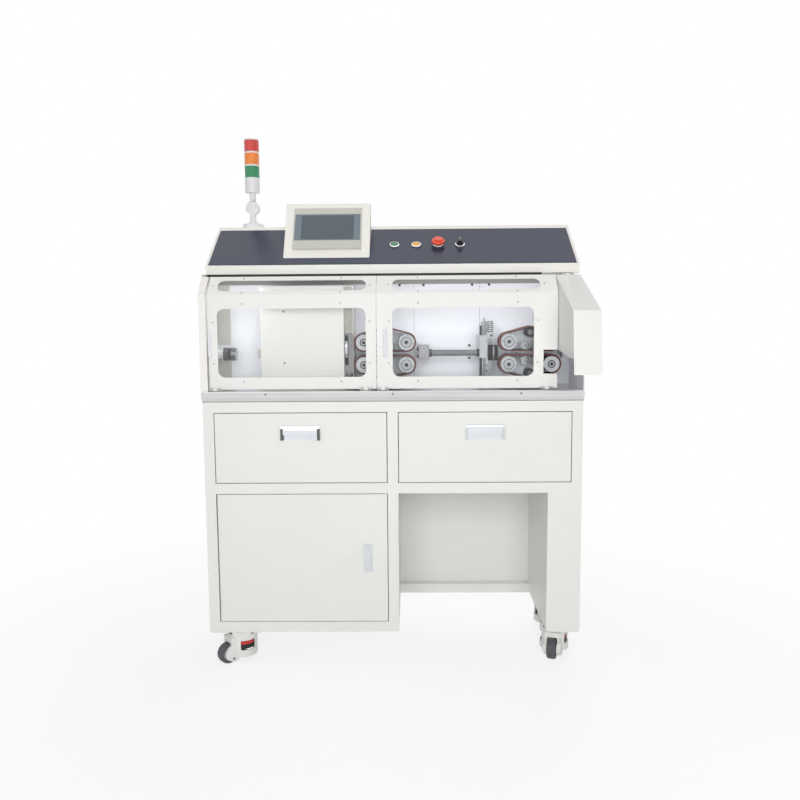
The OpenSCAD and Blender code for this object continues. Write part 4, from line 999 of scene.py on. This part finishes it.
FINISH_OF_SLOT = {
    "cream_paint": CREAM, "wall_white": WALL_WHITE, "stainless": STAINLESS, "steel": STEEL,
    "aluminium": ALUMINIUM, "chrome": CHROME, "slate_panel": SLATE, "bezel_grey": BEZEL_GREY,
    "white_plastic": WHITE_PLASTIC, "black_plastic": BLACK_PLASTIC, "green_plastic": GREEN_BUTTON,
    "amber_plastic": AMBER_BUTTON, "red_plastic": RED_BUTTON, "green_lens": GREEN_LENS,
    "amber_lens": AMBER_LENS, "red_lens": RED_LENS, "clear_pane": CLEAR, "belt_rubber": BELT,
    "wheel_rubber": TYRE,
}
SLOT_OF = {part["node"]: part["material_slot"] for part in frame["record"]["subparts"]}
BODY_OF = {node: body for body, nodes in frame["record"]["behaviour"]["bodies"].items() for node in nodes}
EDGE_OF = {"cabinet_face_frame": 1.5 * MM, "console_shell": 2.5 * MM, "front_rail": 2.5 * MM, "hmi_housing": 2.0 * MM,
           "mechanism_wall": 0.5 * MM, "left_pane": 0.4 * MM, "middle_pane": 0.4 * MM, "left_cover": 0.7 * MM,
           "middle_cover": 0.7 * MM, "infeed_hood": 0.7 * MM}
OWN_PIECES = {"control_bezels", "start_button", "pause_button", "stop_button", "selector_knob", "hmi_unit", "tower_base",
              "tower_post", "lens_green", "lens_amber", "lens_red", "drawer_left_pull", "drawer_right_pull",
              "cupboard_door", "door_latch_lever", "press_rollers", "feed_belts", "guide_tube", "guide_post",
              "feed_plates", "right_end_plate", "outlet_nozzle", "rear_cover"}

WARM_NODES = {"hmi_housing", "console_shell", "left_end_wall"}
NOZZLE_RING_X = -492


def feed_plate_finish(face):
    return 0 if 139.9 < middle(face).y < 150.1 else 1


def end_plate_finish(face):
    return 0 if middle(face).x > 533.5 else 1


def rear_cover_finish(face):
    return 1 if middle(face).y > REAR_Y + 0.5 else 0


def nozzle_finish(face):
    return 1 if middle(face).x > NOZZLE_RING_X - 0.5 else 0


refined("feed_plates", "frame", [WALL_WHITE, STEEL], 0.5 * MM, paint=feed_plate_finish)
refined("right_end_plate", "frame", [WALL_WHITE, STEEL], 0.8 * MM, paint=end_plate_finish)
refined("outlet_nozzle", "frame", [WALL_WHITE, CHROME_DARK_REFLECTION], 0.6 * MM, paint=nozzle_finish)
refined("rear_cover", "frame", [CREAM, BLACK_PLASTIC], 0.6 * MM, paint=rear_cover_finish)
for node in NODES:
    if node not in OWN_PIECES and not node.startswith("caster_") and not node.endswith("_pulley"):
        finish = WARM_CREAM if node in WARM_NODES else FINISH_OF_SLOT[SLOT_OF[node]]
        refined(node, BODY_OF[node], finish, EDGE_OF.get(node, 1.0 * MM))
refined("caster_plates", "frame", CREAM, 0.8 * MM)
make_controls()
make_screen()
make_tower()
make_pull(-1, CAP_DARK)
make_pull(1, CHROME)
make_latch()
make_pulleys()
make_rollers()
make_belts()
make_guides()
make_cutter_front()
make_wall_details()
make_guard_details()
make_casters()


# Stage: a pale floor that keeps a soft shadow, white surroundings, soft lights, and the photo's camera

def floor_finish():
    f = Finish("studio_floor")
    place = f.node("ShaderNodeTexCoord", {}, {}, out="Object")
    reach = f.node("ShaderNodeVectorMath", {"operation": "LENGTH"}, {0: place}, out="Value")
    fade = f.node("ShaderNodeMapRange", {}, {"Value": reach, "From Min": 0.8, "From Max": 1.8})
    straight = f.node("ShaderNodeLightPath", {}, {}, out="Is Camera Ray")
    mirrored = f.node("ShaderNodeLightPath", {}, {}, out="Is Glossy Ray")
    seen = f.node("ShaderNodeMath", {"operation": "MAXIMUM"}, {0: straight, 1: mirrored})
    paint = f.node("ShaderNodeBsdfDiffuse", {}, {"Color": (0.92, 0.92, 0.92, 1)})
    white = f.node("ShaderNodeEmission", {}, {"Color": (1, 1, 1, 1), "Strength": 1.0})
    mixed = f.node("ShaderNodeMixShader", {}, {0: seen * (0.8 + 0.2 * fade), 1: paint, 2: white})
    f.tree.nodes.remove(f.shader)
    f.tree.links.new(mixed.socket, f.tree.nodes["Material Output"].inputs["Surface"])
    return f.material


def make_floor():
    reach = 8.0
    corners = [(x * reach, y * reach, 0) for x, y in ((-1, -1), (1, -1), (1, 1), (-1, 1))]
    mesh = bpy.data.meshes.new("studio_floor")
    mesh.from_pydata(corners, [], [(0, 1, 2, 3)])
    mesh.materials.append(floor_finish())
    floor = bpy.data.objects.new("studio_floor", mesh)
    bpy.context.scene.collection.objects.link(floor)


def make_world(ambient):
    world = bpy.data.worlds.new("studio_white")
    bpy.context.scene.world = world
    world.use_nodes = True
    tree = world.node_tree
    light = tree.nodes["Background"]
    light.inputs["Color"].default_value = (1, 1, 1, 1)
    light.inputs["Strength"].default_value = ambient
    shown = tree.nodes.new("ShaderNodeBackground")
    shown.inputs["Color"].default_value = (1, 1, 1, 1)
    shown.inputs["Strength"].default_value = 1.0
    path = tree.nodes.new("ShaderNodeLightPath")
    mix = tree.nodes.new("ShaderNodeMixShader")
    bright = path.outputs["Is Camera Ray"]
    for ray in ("Is Glossy Ray", "Is Transmission Ray"):
        either = tree.nodes.new("ShaderNodeMath")
        either.operation = "MAXIMUM"
        tree.links.new(bright, either.inputs[0])
        tree.links.new(path.outputs[ray], either.inputs[1])
        bright = either.outputs[0]
    tree.links.new(bright, mix.inputs[0])
    tree.links.new(light.outputs[0], mix.inputs[1])
    tree.links.new(shown.outputs[0], mix.inputs[2])
    tree.links.new(mix.outputs[0], tree.nodes["World Output"].inputs["Surface"])


def soft_light(name, place, aim, size, watts, mirrored=True):
    lamp = bpy.data.lights.new(name, "AREA")
    lamp.shape = "RECTANGLE"
    lamp.size, lamp.size_y = size
    lamp.energy = watts
    obj = bpy.data.objects.new(name, lamp)
    obj.location = place
    obj.rotation_euler = (Vector(aim) - Vector(place)).to_track_quat("-Z", "Y").to_euler()
    obj.visible_camera = False
    obj.visible_glossy = mirrored
    bpy.context.scene.collection.objects.link(obj)


def make_camera():
    lens = bpy.data.cameras.new("photo_camera")
    lens.lens = 35.28
    lens.sensor_width = 36.0
    lens.clip_end = 60
    camera = bpy.data.objects.new("photo_camera", lens)
    pan, tilt, roll = math.radians(0.762), math.radians(90 - 6.274), math.radians(-0.399)
    turn = Matrix.Rotation(pan, 4, "Z") @ Matrix.Rotation(tilt, 4, "X") @ Matrix.Rotation(roll, 4, "Z")
    camera.matrix_world = Matrix.Translation((0.0506, -2.2579, 1.0123)) @ turn
    bpy.context.scene.collection.objects.link(camera)
    bpy.context.scene.camera = camera


make_floor()
make_world(0.22)
soft_light("front_softbox", (0.1, -2.9, 1.35), (0, 0, 0.95), (2.0, 1.4), 52, mirrored=False)
for x, width, watts in ((-0.43, 0.1, 0.1), (0.21, 0.64, 0.27)):
    soft_light("bay_softbox", (x, -0.03, 1.075), (x, 0.128, 0.93), (width, 0.04), watts, mirrored=False)
soft_light("key_softbox", (-1.4, -3.0, 2.8), (0, 0, 0.75), (2.4, 1.8), 12)
soft_light("top_softbox", (0, 0.2, 3.6), (0, 0, 0), (3.2, 2.4), 26)
soft_light("rear_softbox", (0.8, 3.2, 2.2), (0, 0.2, 0.8), (2.4, 1.8), 70, mirrored=False)
make_camera()
bpy.context.scene.view_settings.view_transform = "Standard"
